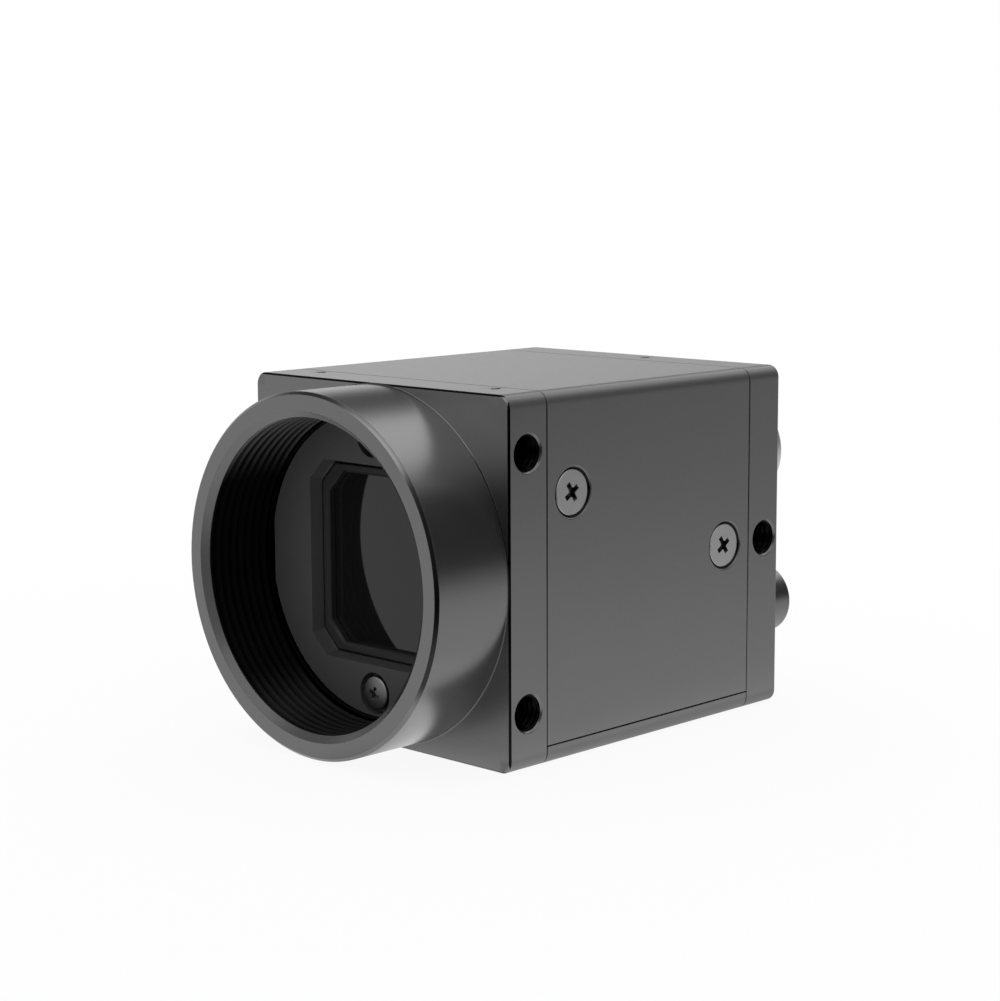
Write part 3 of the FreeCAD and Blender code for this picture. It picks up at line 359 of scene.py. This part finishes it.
def threadPaint(name):
    # near-black thread, its dark tone painted shade: deepest at mid height, with painted light
    # on its crests, greyer above and a little below, and on the first turns, lightest of all in
    # the upper part
    look = dict(deep=0.0012, top=0.095, topFront=0.2, low=0.016, front=(0.5, 1.9),
                frontShare=0.8, crest=(12.45, 12.6), upper=(6.0, 12.0), lower=(8.5, 12.0),
                rough=0.42, sway=0.1, dull=0.35, gloss=0.09, bump=0.2, grain=0.02)
    paint = newPaint(name)
    x, y, z = paint.axes()
    fine = paint.noise(8.0, detail=3.0, rough=0.6)
    upper, lower = paint.smooth(z, *look["upper"]), paint.smooth(-z, *look["lower"])
    crest = 1 - paint.smooth(paint.distance(x, z), *look["crest"])
    front = 1 - paint.smooth(y, *look["front"])
    topTone = paint.mix(front, grey(look["top"]), grey(look["topFront"]))
    # painted light on the upper crests and first turns
    lit = upper * paint.maths("MAXIMUM", crest, front * look["frontShare"])
    colour = paint.mix(lit, grey(look["deep"]), topTone)
    colour = paint.mix(lower * crest, colour, grey(look["low"]))
    roughness = paint.sway(fine, look["sway"]) + look["rough"] \
        + (1 - upper - lower) * look["dull"]
    return paint.surface(**{"Base Color": colour, "Roughness": roughness,
                            "Specular IOR Level": look["gloss"],
                            "Normal": paint.bump(fine, look["bump"], look["grain"])})


def glassPaint(name, colour=grey(0.010), rough=0.03):
    # a coated pane over a dark cavity: dark body, sharp reflection, faint dust
    look = dict(dark=0.8, dust=(0.55, 0.8), dustRough=0.04, refraction=1.5)
    paint = newPaint(name)
    paint.axes()
    dust = paint.noise(2.2, detail=4.0, rough=0.7)
    cloud = paint.noise(0.25)
    roughness = paint.smooth(dust, *look["dust"]) * look["dustRough"] + rough
    return paint.surface(**{
        "Base Color": paint.mix(cloud, grey(colour[1] * look["dark"]), colour),
        "Roughness": roughness, "IOR": look["refraction"]})


def boardPaint(name):
    # solder mask with fine tracks showing through as slightly raised lines
    look = dict(mask=(0.01, 0.09, 0.04, 1), track=(0.02, 0.19, 0.08, 1), edge=(0.6, 0.75),
                rough=0.3, bump=0.3, height=0.03)
    paint = newPaint(name)
    paint.axes()
    tracks = paint.read(paint.node("ShaderNodeTexWave", {"bands_direction": "X"},
                                   {"Vector": paint.place, "Scale": 1.6, "Distortion": 1.5,
                                    "Detail": 2.0, "Detail Scale": 0.6}), 1)
    raised = paint.smooth(tracks, *look["edge"])
    return paint.surface(**{"Base Color": paint.mix(raised, look["mask"], look["track"]),
                            "Roughness": look["rough"],
                            "Normal": paint.bump(raised, look["bump"], look["height"])})


def lampPaint(name):
    # clear moulded light guide, a little milky
    look = dict(dark=(0.55, 0.6, 0.56, 1), light=(0.72, 0.76, 0.7, 1), rough=0.18, sway=0.1)
    paint = newPaint(name)
    paint.axes()
    cloud = paint.noise(0.9)
    return paint.surface(**{"Base Color": paint.mix(cloud, look["dark"], look["light"]),
                            "Roughness": paint.sway(cloud, look["sway"]) + look["rough"]})


def gridFaces(rows, columns, closeRows=False, closeColumns=False):
    # quads between neighbouring grid points, wrapped round where asked
    i = np.arange(rows if closeRows else rows - 1)
    j = np.arange(columns if closeColumns else columns - 1)
    i, j = (part.ravel() for part in np.meshgrid(i, j, indexing="ij"))
    i2, j2 = (i + 1) % rows, (j + 1) % columns
    return np.stack([i * columns + j, i * columns + j2, i2 * columns + j2, i2 * columns + j], 1)


def newPiece(name, points, faces):
    # faces is a list of index rows; doubles merge, so poles and seams close
    data = bpy.data.meshes.new(name)
    data.from_pydata(np.asarray(points, float).reshape(-1, 3).tolist(), [],
                     [list(map(int, row)) for row in faces])
    work = bmesh.new()
    work.from_mesh(data)
    bmesh.ops.remove_doubles(work, verts=work.verts, dist=1e-5)
    bmesh.ops.recalc_face_normals(work, faces=work.faces)
    work.to_mesh(data)
    work.free()
    piece = bpy.data.objects.new(name, data)
    bpy.context.collection.objects.link(piece)
    return piece


def turnedPiece(name, profile, steps=96, closed=False):
    # P(u, t) = (r(u) cos t, y(u), r(u) sin t): a profile of (r, y) carried round Y
    profile = np.asarray(profile, float)
    t = np.linspace(0, 2 * pi, steps, endpoint=False)
    r, y = profile[:, :1], profile[:, 1:]
    points = np.stack([r * np.cos(t), y + 0 * t, r * np.sin(t)], -1)
    return newPiece(name, points, gridFaces(len(profile), steps, closed, True))


def threadedSleeve(name, radius, wall, along, t):
    # P(t, v) = (r cos t, v, r sin t) with r(t, v) ridged, then back along a plain wall
    inner, outer = (np.stack([r * np.cos(t), along + 0 * t, r * np.sin(t)], -1)
                    for r in (radius, np.full_like(radius, wall)))
    points = np.concatenate([inner, outer[[-1, 0]]])
    return newPiece(name, points, gridFaces(len(points), t.size, True, True))


def moved(piece, centre=(0, 0, 0), axis="Y", spin=0.0):
    # lays the piece's Y axis along the named axis, spun about it, then moves it
    lay = {"Y": Matrix.Identity(4),
           "X": Matrix.Rotation(-pi / 2, 4, "Z"), "-X": Matrix.Rotation(pi / 2, 4, "Z"),
           "Z": Matrix.Rotation(pi / 2, 4, "X"), "-Z": Matrix.Rotation(-pi / 2, 4, "X")}[axis]
    piece.data.transform(Matrix.Translation(Vector(centre)) @ lay @ Matrix.Rotation(spin, 4, "Y"))
    return piece


def cut(piece, tools):
    # exact booleans, applied at once; the tools are then deleted
    for tool in tools:
        modifier = piece.modifiers.new("cut", "BOOLEAN")
        modifier.operation, modifier.solver, modifier.object = "DIFFERENCE", "EXACT", tool
    bpy.context.view_layer.update()
    depsgraph = bpy.context.evaluated_depsgraph_get()
    result = bpy.data.meshes.new_from_object(piece.evaluated_get(depsgraph))
    piece.modifiers.clear()
    piece.data = result
    for tool in tools:
        bpy.data.objects.remove(tool)
    return piece


def joined(name, parts):
    # several closed shells as one piece
    work = bmesh.new()
    for part in parts:
        work.from_mesh(part.data)
    data = bpy.data.meshes.new(name)
    work.to_mesh(data)
    work.free()
    for part in parts:
        bpy.data.objects.remove(part)
    piece = bpy.data.objects.new(name, data)
    bpy.context.collection.objects.link(piece)
    return piece


def finish(piece, paint, nodes=(), sharp=30.0):
    # to metres, smooth but for sharp edges, painted, riding the body
    piece.data.transform(Matrix.Scale(millimetre, 4))
    piece.data.shade_smooth()
    piece.data.set_sharp_from_angle(angle=radians(sharp))
    piece.data.materials.clear()
    piece.data.materials.append(paint)
    piece.data.update()
    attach(piece, "root")
    if nodes:
        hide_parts(*nodes)


def dressed(node, name, paint, bevel, segments=2, tools=()):
    # a merged copy of a CAD node, cut by the tools, flat faces joined, sharp edges softened
    softenedAngle = 35
    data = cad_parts[node].data.copy()
    data.transform(Matrix.Scale(1 / millimetre, 4))
    piece = bpy.data.objects.new(name, data)
    bpy.context.collection.objects.link(piece)
    tidyMesh(piece, join=False)
    if tools:
        cut(piece, tools)
    tidyMesh(piece, join=True)
    finish(piece, paint, [node])
    if bevel:
        soften = piece.modifiers.new("softEdges", "BEVEL")
        soften.width = bevel * millimetre
        soften.segments = segments
        soften.limit_method = "ANGLE"
        soften.angle_limit = radians(softenedAngle)
    level = piece.modifiers.new("levelFaces", "WEIGHTED_NORMAL")
    level.keep_sharp = True


def tidyMesh(piece, join):
    # doubles merged and, where asked, triangles of one flat face joined
    merge, flat = 1e-4, 0.3  # millimetres, degrees
    work = bmesh.new()
    work.from_mesh(piece.data)
    bmesh.ops.remove_doubles(work, verts=work.verts, dist=merge)
    if join:
        bmesh.ops.dissolve_limit(work, angle_limit=radians(flat), verts=work.verts,
                                 edges=work.edges)
    work.to_mesh(piece.data)
    work.free()


def lensThread():
    # radius = root - height * ridge(y / pitch + t / 2 pi): a helix of blunt ridges whose
    # first turn starts at full height, with a plain outer wall just inside the metal
    size = dict(root=12.69, height=0.29, wall=12.74, start=0.52, end=6.62, pitch=0.794,
                flank=1.15, startFade=0.2, around=240, perPitch=12)
    rows = int((size["end"] - size["start"]) / size["pitch"] * size["perPitch"]) + 1
    t = np.linspace(0, 2 * pi, size["around"], endpoint=False)[None, :]
    y = np.linspace(size["start"], size["end"], rows)[:, None]
    phase = (y / size["pitch"] + t / (2 * pi)) % 1.0
    ridge = np.clip(size["flank"] - np.abs(phase - 0.5) * 2 * size["flank"], 0, 1)
    ridge = np.maximum(ridge, 1 - (y - size["start"]) / size["startFade"])
    radius = size["root"] - size["height"] * ridge
    piece = threadedSleeve("lensThread", radius, size["wall"], y, t)
    finish(piece, threadPaint("threadPaint"), sharp=50)


def leadIn(paint):
    # the cone that leads a lens into the thread, set on the bore's own small bevel:
    # a closed profile turned about Y
    size = dict(mouth=12.95, mouthY=0.004, lip=12.4, lipY=0.48, endY=0.54, seat=12.72,
                seatY=0.26, bevel=12.96, bevelY=0.014, around=240)
    profile = [(size["mouth"], size["mouthY"]), (size["lip"], size["lipY"]),
               (size["lip"], size["endY"]), (size["seat"], size["endY"]),
               (size["seat"], size["seatY"]), (size["bevel"], size["bevelY"])]
    cone = turnedPiece("leadIn", profile, size["around"], closed=True)
    finish(cone, paint)


def holeThreads(paint, holes):
    # radius = root - height * ridge(v / pitch + t / 2 pi) inside each tapped hole, with v
    # the depth, closed by a plain wall just within the metal
    size = dict(start=0.22, end=2.6, pitch=0.5, height=0.2, margin=0.02, wall=0.06,
                around=48, perPitch=8)
    rows = int((size["end"] - size["start"]) / size["pitch"] * size["perPitch"]) + 1
    t = np.linspace(0, 2 * pi, size["around"], endpoint=False)[None, :]
    v = np.linspace(size["start"], size["end"], rows)[:, None]
    ridge = 1 - np.abs((v / size["pitch"] + t / (2 * pi)) % 1.0 - 0.5) * 2
    turns = []
    for axis, y, z, holeRadius in holes:
        radius = holeRadius + size["margin"] - size["height"] * ridge
        turn = threadedSleeve("turn", radius, holeRadius + size["wall"], v, t)
        turns.append(moved(turn, (sideX(axis), y, z), axis))
    finish(joined("sideHoleThreads", turns), paint, sharp=50)


def sideX(axis):
    # the side face that a hole opens in: one running to -X starts on the +X side
    return bodyHalf if axis == "-X" else -bodyHalf


def topHoleRims(paint):
    # each pin hole in the top narrows to the small mouth seen: a turned ring flush in it
    size = dict(outer=0.795, mouth=0.54, inner=0.46, sunk=0.004, lip=0.07, deep=1.6,
                around=48, places=((-10.0, 10.6), (10.0, 10.6), (1.1, 38.6)))
    profile = [(size["outer"], size["sunk"]), (size["mouth"], size["sunk"]),
               (size["inner"], size["lip"]), (size["inner"], size["deep"]),
               (size["outer"], size["deep"])]
    rims = [moved(turnedPiece("rim", profile, size["around"], closed=True),
                  (x, y, bodyHalf), "-Z") for x, y in size["places"]]
    finish(joined("topHoleRims", rims), paint)


def crossTool(span, slot, depth):
    # two crossed blades that taper as they sink from y = 0 towards +y, and a pointed core
    shape = dict(above=0.2, narrow=0.75, shorten=0.8, coreTop=1.7, coreLow=1.4,
                 coreDepth=0.9, tipDepth=1.35, around=24)
    arm, half, above = span / 2, slot / 2, -shape["above"]
    corners = np.array([[-arm, -half], [arm, -half], [arm, half], [-arm, half]])
    top = np.column_stack([corners[:, 0], np.full(4, above), corners[:, 1]])
    low = np.column_stack([corners[:, 0] * shape["narrow"] * shape["shorten"],
                           np.full(4, depth), corners[:, 1] * shape["narrow"]])
    faces = gridFaces(2, 4, False, True).tolist() + [[0, 1, 2, 3], [7, 6, 5, 4]]
    blades = [moved(newPiece("blade", np.concatenate([top, low]), faces), spin=turn)
              for turn in (0, pi / 2)]
    core = [(0, above), (half * shape["coreTop"], above),
            (half * shape["coreLow"], depth * shape["coreDepth"]),
            (0, depth * shape["tipDepth"])]
    return blades + [turnedPiece("core", core, shape["around"])]


def screwHead(size):
    # a profile from the crown over the rim and the cone or pan to the tip, turned about Y,
    # then cross-cut
    shape = dict(crownShare=0.96, crownPoints=9, rimShare=0.4, panDepth=0.5, around=64)
    radius, edge, shank = size["radius"], size["edge"], size["shank"]
    s = np.linspace(0, 1, shape["crownPoints"])
    dome = np.column_stack([radius * shape["crownShare"] * s, -size["crown"] * (1 - s * s)])
    rim = [(radius, edge * shape["rimShare"]), (radius, edge)]
    panEnd = edge + shape["panDepth"]
    under = [(shank, edge + radius - shank)] if size["sunk"] \
        else [(radius, panEnd), (shank, panEnd)]
    tip = [(shank, size["length"]), (0, size["length"])]
    piece = turnedPiece("screw", np.concatenate([dome, rim, under, tip]), shape["around"])
    return cut(piece, crossTool(size["span"], size["slot"], size["depth"]))


def screwSet(name, node, size, paint, places):
    # one head for each (centre, axis, spin in degrees), as one piece
    heads = [moved(screwHead(size), centre, axis, radians(spin))
             for centre, axis, spin in places]
    finish(joined(name, heads), paint, [node])


def coverScrews():
    size = dict(radius=1.80, crown=0.0, edge=0.12, length=3.3, shank=0.97, span=1.9,
                slot=0.47, depth=0.5, sunk=True, reach=14.38, front=14.6, rear=33.3,
                rise=6.5, spin=60, spread=3)
    # painted shade inside each screw's cross recess: radius, below, tone
    recess = dict(radius=1.2, below=14.33, tone=0.12)
    spots = ((size["front"], size["rise"]), (size["rear"], 0.0))
    places = [((size["reach"] * side, y, z), axis, size["spin"] - size["spread"] * side)
              for side, axis in ((1, "-X"), (-1, "X")) for y, z in spots]
    shadedWells = [(y, z, recess["radius"], recess["below"], recess["tone"]) for y, z in spots]
    paint = steelPaint("screwPaint", tone=0.5, rough=0.36, shadedWells=shadedWells)
    screwSet("coverScrews", "cover_screws", size, paint, places)


def baseScrews():
    size = dict(radius=1.70, crown=0.0, edge=0.12, length=3.2, shank=0.97, span=1.9,
                slot=0.52, depth=0.75, sunk=True, z=-14.25, side=11.4, front=14.6,
                rear=33.3, spin=30)
    places = [((size["side"] * side, y, size["z"]), "Z", size["spin"] * side)
              for side, y in ((1, size["front"]), (-1, size["rear"]))]
    paint = steelPaint("baseScrewPaint", tone=0.5, rough=0.36)
    screwSet("baseScrews", "base_screws", size, paint, places)


def frameScrews():
    size = dict(radius=1.33, crown=0.16, edge=0.1, length=3.7, shank=0.76, span=1.2,
                slot=0.3, depth=0.22, sunk=False, front=7.05, reach=10.35, lowSpin=20,
                highSpin=65)
    places = [((0, size["front"], size["reach"] * side), "Y", spin)
              for side, spin in ((-1, size["lowSpin"]), (1, size["highSpin"]))]
    paint = steelPaint("frameScrewPaint", tone=0.24, rough=0.45)
    screwSet("frameScrews", "frame_screws", size, paint, places)


def holeRims(holes):
    # 45 degree cones that break the rims of the side holes: (axis, y, z, radius)
    size = dict(broken=0.16, above=0.05, inside=0.02, around=64)
    tools = []
    for axis, y, z, radius in holes:
        rim, inner = radius + size["broken"], radius - size["inside"]
        profile = [(0, -size["above"]), (rim + size["above"], -size["above"]),
                   (inner, rim - inner), (0, rim - inner)]
        tools.append(moved(turnedPiece("rimTool", profile, size["around"]),
                           (sideX(axis), y, z), axis))
    return tools


def rootFillet(paint, body):
    # P(a, t): a quarter round of radius f where the ring meets the face, turned about Y
    # and closed by a small overlap into the metal
    f, ring, face = body["fillet"], body["ringRadius"], body["faceY"]
    overlap, around, arcPoints = 0.03, 240, 7
    a = np.linspace(0, pi / 2, arcPoints)
    arc = np.stack([ring + f * (1 - np.cos(a)), face - f * (1 - np.sin(a))], 1)
    profile = np.concatenate([arc, [(ring + f, face + overlap), (ring - overlap, face + overlap),
                                    (ring - overlap, face - f)]])
    finish(turnedPiece("rootFillet", profile, around, closed=True), paint,
           sharp=40)


def housing():
    body = dict(tone=0.22, rough=0.29, faceY=7.5, chamfer=0.15, ringRadius=14.4, fillet=0.1,
                holeShadeTone=0.007)
    hole = dict(radius=1.4, frontY=9.55, rise=10.0, rearY=38.6)
    sink = dict(frontY=14.6, frontRise=6.5, rearY=33.3)
    # painted shade inside the side holes and the screw sinks, each as radius, below, tone
    holeShade, sinkShade = (1.45, 14.36, 0.006), (2.0, 14.44, 0.02)  # radius, below, tone
    frontHoles = [(axis, hole["frontY"], z, hole["radius"])
                  for axis in ("X", "-X") for z in (-hole["rise"], hole["rise"])]
    rearHoles = [(axis, hole["rearY"], 0, hole["radius"]) for axis in ("X", "-X")]
    frontPaint = mountPaint("mountPaint", body, [(hole["frontY"], hole["rise"], *holeShade)])
    dressed("front_block", "frontBlock", frontPaint, bevel=0.04,
            tools=holeRims(frontHoles))
    rootFillet(frontPaint, body)
    leadIn(frontPaint)
    shadedWells = [(sink["frontY"], sink["frontRise"], *sinkShade), (sink["rearY"], 0.0, *sinkShade),
             (hole["rearY"], 0.0, *holeShade)]
    coverPaint = anodisedPaint("coverPaint", body["tone"], body["rough"], shadedWells)
    dressed("top_cover", "topCover", coverPaint, bevel=0.03)
    dressed("base_plate", "basePlate", coverPaint, bevel=0.03)
    # the threads in the side holes painted near black, as painted shade
    holeThreads(anodisedPaint("sideHoleShadePaint", body["holeShadeTone"], body["rough"]),
                frontHoles + rearHoles)
    topHoleRims(coverPaint)
    dressed("rear_block", "rearBlock", coverPaint, bevel=0.04,
            tools=holeRims(rearHoles))


def mountInside():
    plate = mattePaint("plateBlack", grey(0.068), rough=0.5, scale=6.0, gloss=0.2)
    dressed("filter_frame", "filterFrame", plate, bevel=0.0)
    dressed("filter_gasket", "filterGasket", gasketPaint("gasketBlack"),
            bevel=0.02)
    repaint("filter_glass", glassPaint("filterGlassPaint"))


def rearPieces():
    plated = steelPaint("platedPaint", tone=0.72, rough=0.22, warm=0.015)
    satin = steelPaint("satinPaint", tone=0.88, rough=0.38)
    dressed("io_shell", "ioShell", satin, bevel=0.05)
    dressed("jack_shell", "jackShell", plated, bevel=0.06)
    plastic = mattePaint("plasticBlack", (0.02, 0.02, 0.021), rough=0.5)
    dressed("io_insert", "ioInsert", plastic, bevel=0.03)
    dressed("jack_body", "jackBody", plastic, bevel=0.08)
    gold = steelPaint("goldPaint", tone=0.6, rough=0.2, warm=0.28)
    dressed("jack_contacts", "jackContacts", gold, bevel=0.04)
    dressed("io_pins", "ioPins", gold, bevel=0.08, segments=3)
    lamp = lampPaint("lampPaint")
    dressed("jack_lamps", "jackLamps", lamp, bevel=0.08)
    dressed("light_pipe", "lightPipe", lamp, bevel=0.12, segments=3)


def repaint(node, paint):
    # a CAD node keeps its mesh and gets a material
    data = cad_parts[node].data
    data.materials.clear()
    data.materials.append(paint)


def insidePieces():
    board = boardPaint("boardPaint")
    chip = mattePaint("chipPaint", (0.022, 0.022, 0.024), rough=0.5)
    ceramic = mattePaint("ceramicPaint", (0.1, 0.09, 0.09), rough=0.6)
    silicon = glassPaint("siliconPaint", (0.09, 0.075, 0.13, 1.0), rough=0.12)
    steel = steelPaint("insideSteelPaint", tone=0.5)
    paints = (
        (board, ("sensor_board", "processor_board", "interface_board")),
        (ceramic, ("sensor_package", "power_inductor")),
        (silicon, ("sensor_die",)),
        (glassPaint("coverGlassPaint"), ("sensor_glass",)),
        (steel, ("front_spacers", "rear_spacers", "stack_screws", "io_nut")),
        (chip, ("sensor_link_plug", "sensor_link_socket", "interface_link_plug",
                "interface_link_socket", "processor_chip", "memory_chip",
                "network_transformer", "network_chip")),
        (lampPaint("chipLamp"), ("status_lamp",)))
    for paint, nodes in paints:
        for node in nodes:
            repaint(node, paint)


def lightPath(paint):
    # two masks: the camera's own rays, and rays that come by way of metal or glass
    path = paint.node("ShaderNodeLightPath")
    camera, glossy, through = (paint.read(path, key) for key in (
        "Is Camera Ray", "Is Glossy Ray", "Is Transmission Ray"))
    return camera, paint.maths("MINIMUM", glossy + through, 1.0)


def addFloor():
    # the camera sees it white far off, and near the object a little less, so that its
    # shadow shows; for metal its glow carries painted light and shade: brightest just under the
    # mount, darker in a dip there, greyer far behind to the right and nearly black on the
    # camera's side
    size = dict(half=3000.0, tone=0.9, nearWhite=0.92, near=(35.0, 110.0),
                roomLevel=0.70, mountLevel=1.02, mount=(10.0, 11.0), mountReach=(5.0, 12.5),
                mountSide=(11.0, 17.0), front=(1.8, 4.0),
                baseSide=(18.0, 22.0), baseLift=0.12,
                dip=(7.0, -1.0), dipReach=(4.0, 9.0), dipDepth=0.18,
                farReach=(30.0, 300.0), farLevel=0.42,
                backReach=(140.0, 230.0), backLift=0.07,
                shadeReach=(28.0, 60.0), shade=0.95)
    reach = size["half"]
    corners = np.array([[-reach, -reach], [reach, -reach], [reach, reach], [-reach, reach]])
    floor = newPiece("floor", np.column_stack([corners, np.full(4, -bodyHalf)]),
                     [[0, 1, 2, 3]])
    floor.data.transform(Matrix.Scale(millimetre, 4))
    paint = newPaint("floorPaint")
    x, y = paint.axes()[:2]
    room = size["roomLevel"]
    pastMount, pastDip = (paint.smooth(paint.distance(x - centre[0], y - centre[1]), *ramp)
                          for centre, ramp in ((size["mount"], size["mountReach"]),
                                               (size["dip"], size["dipReach"])))
    beside = 1 - paint.smooth(x, *size["mountSide"])
    bright = (1 - pastMount) * beside * (size["mountLevel"] - room)
    close = (1 - paint.smooth(x, *size["baseSide"])) * size["baseLift"]
    seen = (bright + close) * paint.smooth(y, *size["front"]) \
        - (1 - pastDip) * size["dipDepth"] + room \
        - paint.smooth(x + y, *size["farReach"]) * (room - size["farLevel"]) \
        + paint.smooth(y, *size["backReach"]) * size["backLift"]
    seen = seen * (1 - paint.smooth(x - y, *size["shadeReach"]) * size["shade"])
    away = paint.smooth(paint.distance(x, y), *size["near"])
    camera, mirrored = lightPath(paint)
    white = camera * (away * (1 - size["nearWhite"]) + size["nearWhite"]) + mirrored
    lit = paint.node("ShaderNodeBsdfDiffuse", inputs={"Color": grey(size["tone"])})
    plain = paint.node("ShaderNodeEmission", inputs={
        "Color": grey(1.0), "Strength": mirrored * (seen - 1) + 1})
    both = paint.node("ShaderNodeMixShader",
                      inputs={0: white, 1: paint.read(lit), 2: paint.read(plain)})
    paint.node("ShaderNodeOutputMaterial", inputs={"Surface": paint.read(both)})
    floor.data.materials.append(paint.owner)


def addSurround():
    # P(a, e) = R (cos a cos e, sin a cos e, sin e): a half dome that reflections alone
    # show, pale, with round patches: (direction, inner and outer angle, level)
    size = dict(radius=1000.0, level=0.72, lowest=-0.014, around=48, rise=16)
    patches = (((0.62, 0.71, 0.33), 18, 25, 0.05), ((0.70, 0.70, 0.06), 14, 24, 0.05),
               ((-0.52, 0.71, 0.474), 9, 16, 0.12), ((0.66, -0.70, 0.22), 24, 34, 0.12),
               ((-0.69, -0.15, 0.71), 15, 28, 0.06), ((-0.03, 0.71, 0.70), 13, 19, 1.45),
               ((-0.70, 0.71, 0.06), 8, 14, 0.94), ((-0.05, -0.71, 0.70), 18, 30, 1.8))
    a = np.linspace(0, 2 * pi, size["around"], endpoint=False)[None, :]
    e = np.linspace(size["lowest"], pi / 2, size["rise"])[:, None]
    points = size["radius"] * np.stack([np.cos(a) * np.cos(e), np.sin(a) * np.cos(e),
                                        np.sin(e) + 0 * a], -1)
    dome = newPiece("surround", points, gridFaces(size["rise"], size["around"], False, True))
    dome.data.transform(Matrix.Scale(millimetre, 4))
    paint = newPaint("surroundPaint")
    paint.axes()
    colour = grey(size["level"])
    for direction, inner, outer, level in patches:
        toward = Vector(direction).normalized() / size["radius"]
        along = paint.node("ShaderNodeVectorMath", {"operation": "DOT_PRODUCT"},
                           {0: paint.place, 1: toward})
        inside = paint.smooth(paint.read(along, 1), cos(radians(outer)), cos(radians(inner)))
        colour = paint.mix(inside, colour, grey(level))
    glow = paint.node("ShaderNodeEmission", inputs={"Color": colour})
    paint.node("ShaderNodeOutputMaterial", inputs={"Surface": paint.read(glow)})
    dome.data.materials.append(paint.owner)
    dome.visible_camera = False
    dome.visible_shadow = False
    dome.visible_diffuse = False
    dome.visible_transmission = False


def addLight():
    # one soft panel overhead, which metal and glass don't mirror
    panel = dict(place=(-40, 40, 190), target=(0, 20, 0), side=160, power=0.12)
    data = bpy.data.lights.new("topLight", "AREA")
    data.shape, data.energy = "RECTANGLE", panel["power"]
    data.size = data.size_y = panel["side"] * millimetre
    lamp = bpy.data.objects.new("topLight", data)
    bpy.context.collection.objects.link(lamp)
    lamp.location = Vector(panel["place"]) * millimetre
    lamp.rotation_mode = "QUATERNION"
    lamp.rotation_quaternion = (Vector(panel["target"]) - Vector(panel["place"])
                                ).to_track_quat("-Z", "Y")
    lamp.visible_camera = False
    lamp.visible_glossy = False


def addWorld():
    # plain white for the camera and in metal, a little dimmer as the room's soft light
    look = dict(ambient=0.75, plain=1.0)
    world = bpy.data.worlds.new("studio")
    bpy.context.scene.world = world
    paint = Paint(world)
    camera, mirrored = lightPath(paint)
    ambient, plain = (paint.node("ShaderNodeBackground", inputs={
        "Color": grey(1.0), "Strength": look[key]}) for key in ("ambient", "plain"))
    both = paint.node("ShaderNodeMixShader", inputs={
        0: camera + mirrored, 1: paint.read(ambient), 2: paint.read(plain)})
    paint.node("ShaderNodeOutputWorld", inputs={"Surface": paint.read(both)})


addCamera()
housing()
print("stage: housing")
mountInside()
lensThread()
coverScrews()
baseScrews()
frameScrews()
print("stage: mount and screws")
rearPieces()
insidePieces()
print("stage: rear and inside")
addFloor()
addSurround()
addWorld()
addLight()
bpy.context.scene.view_settings.view_transform = "Standard"
print("stage: light")
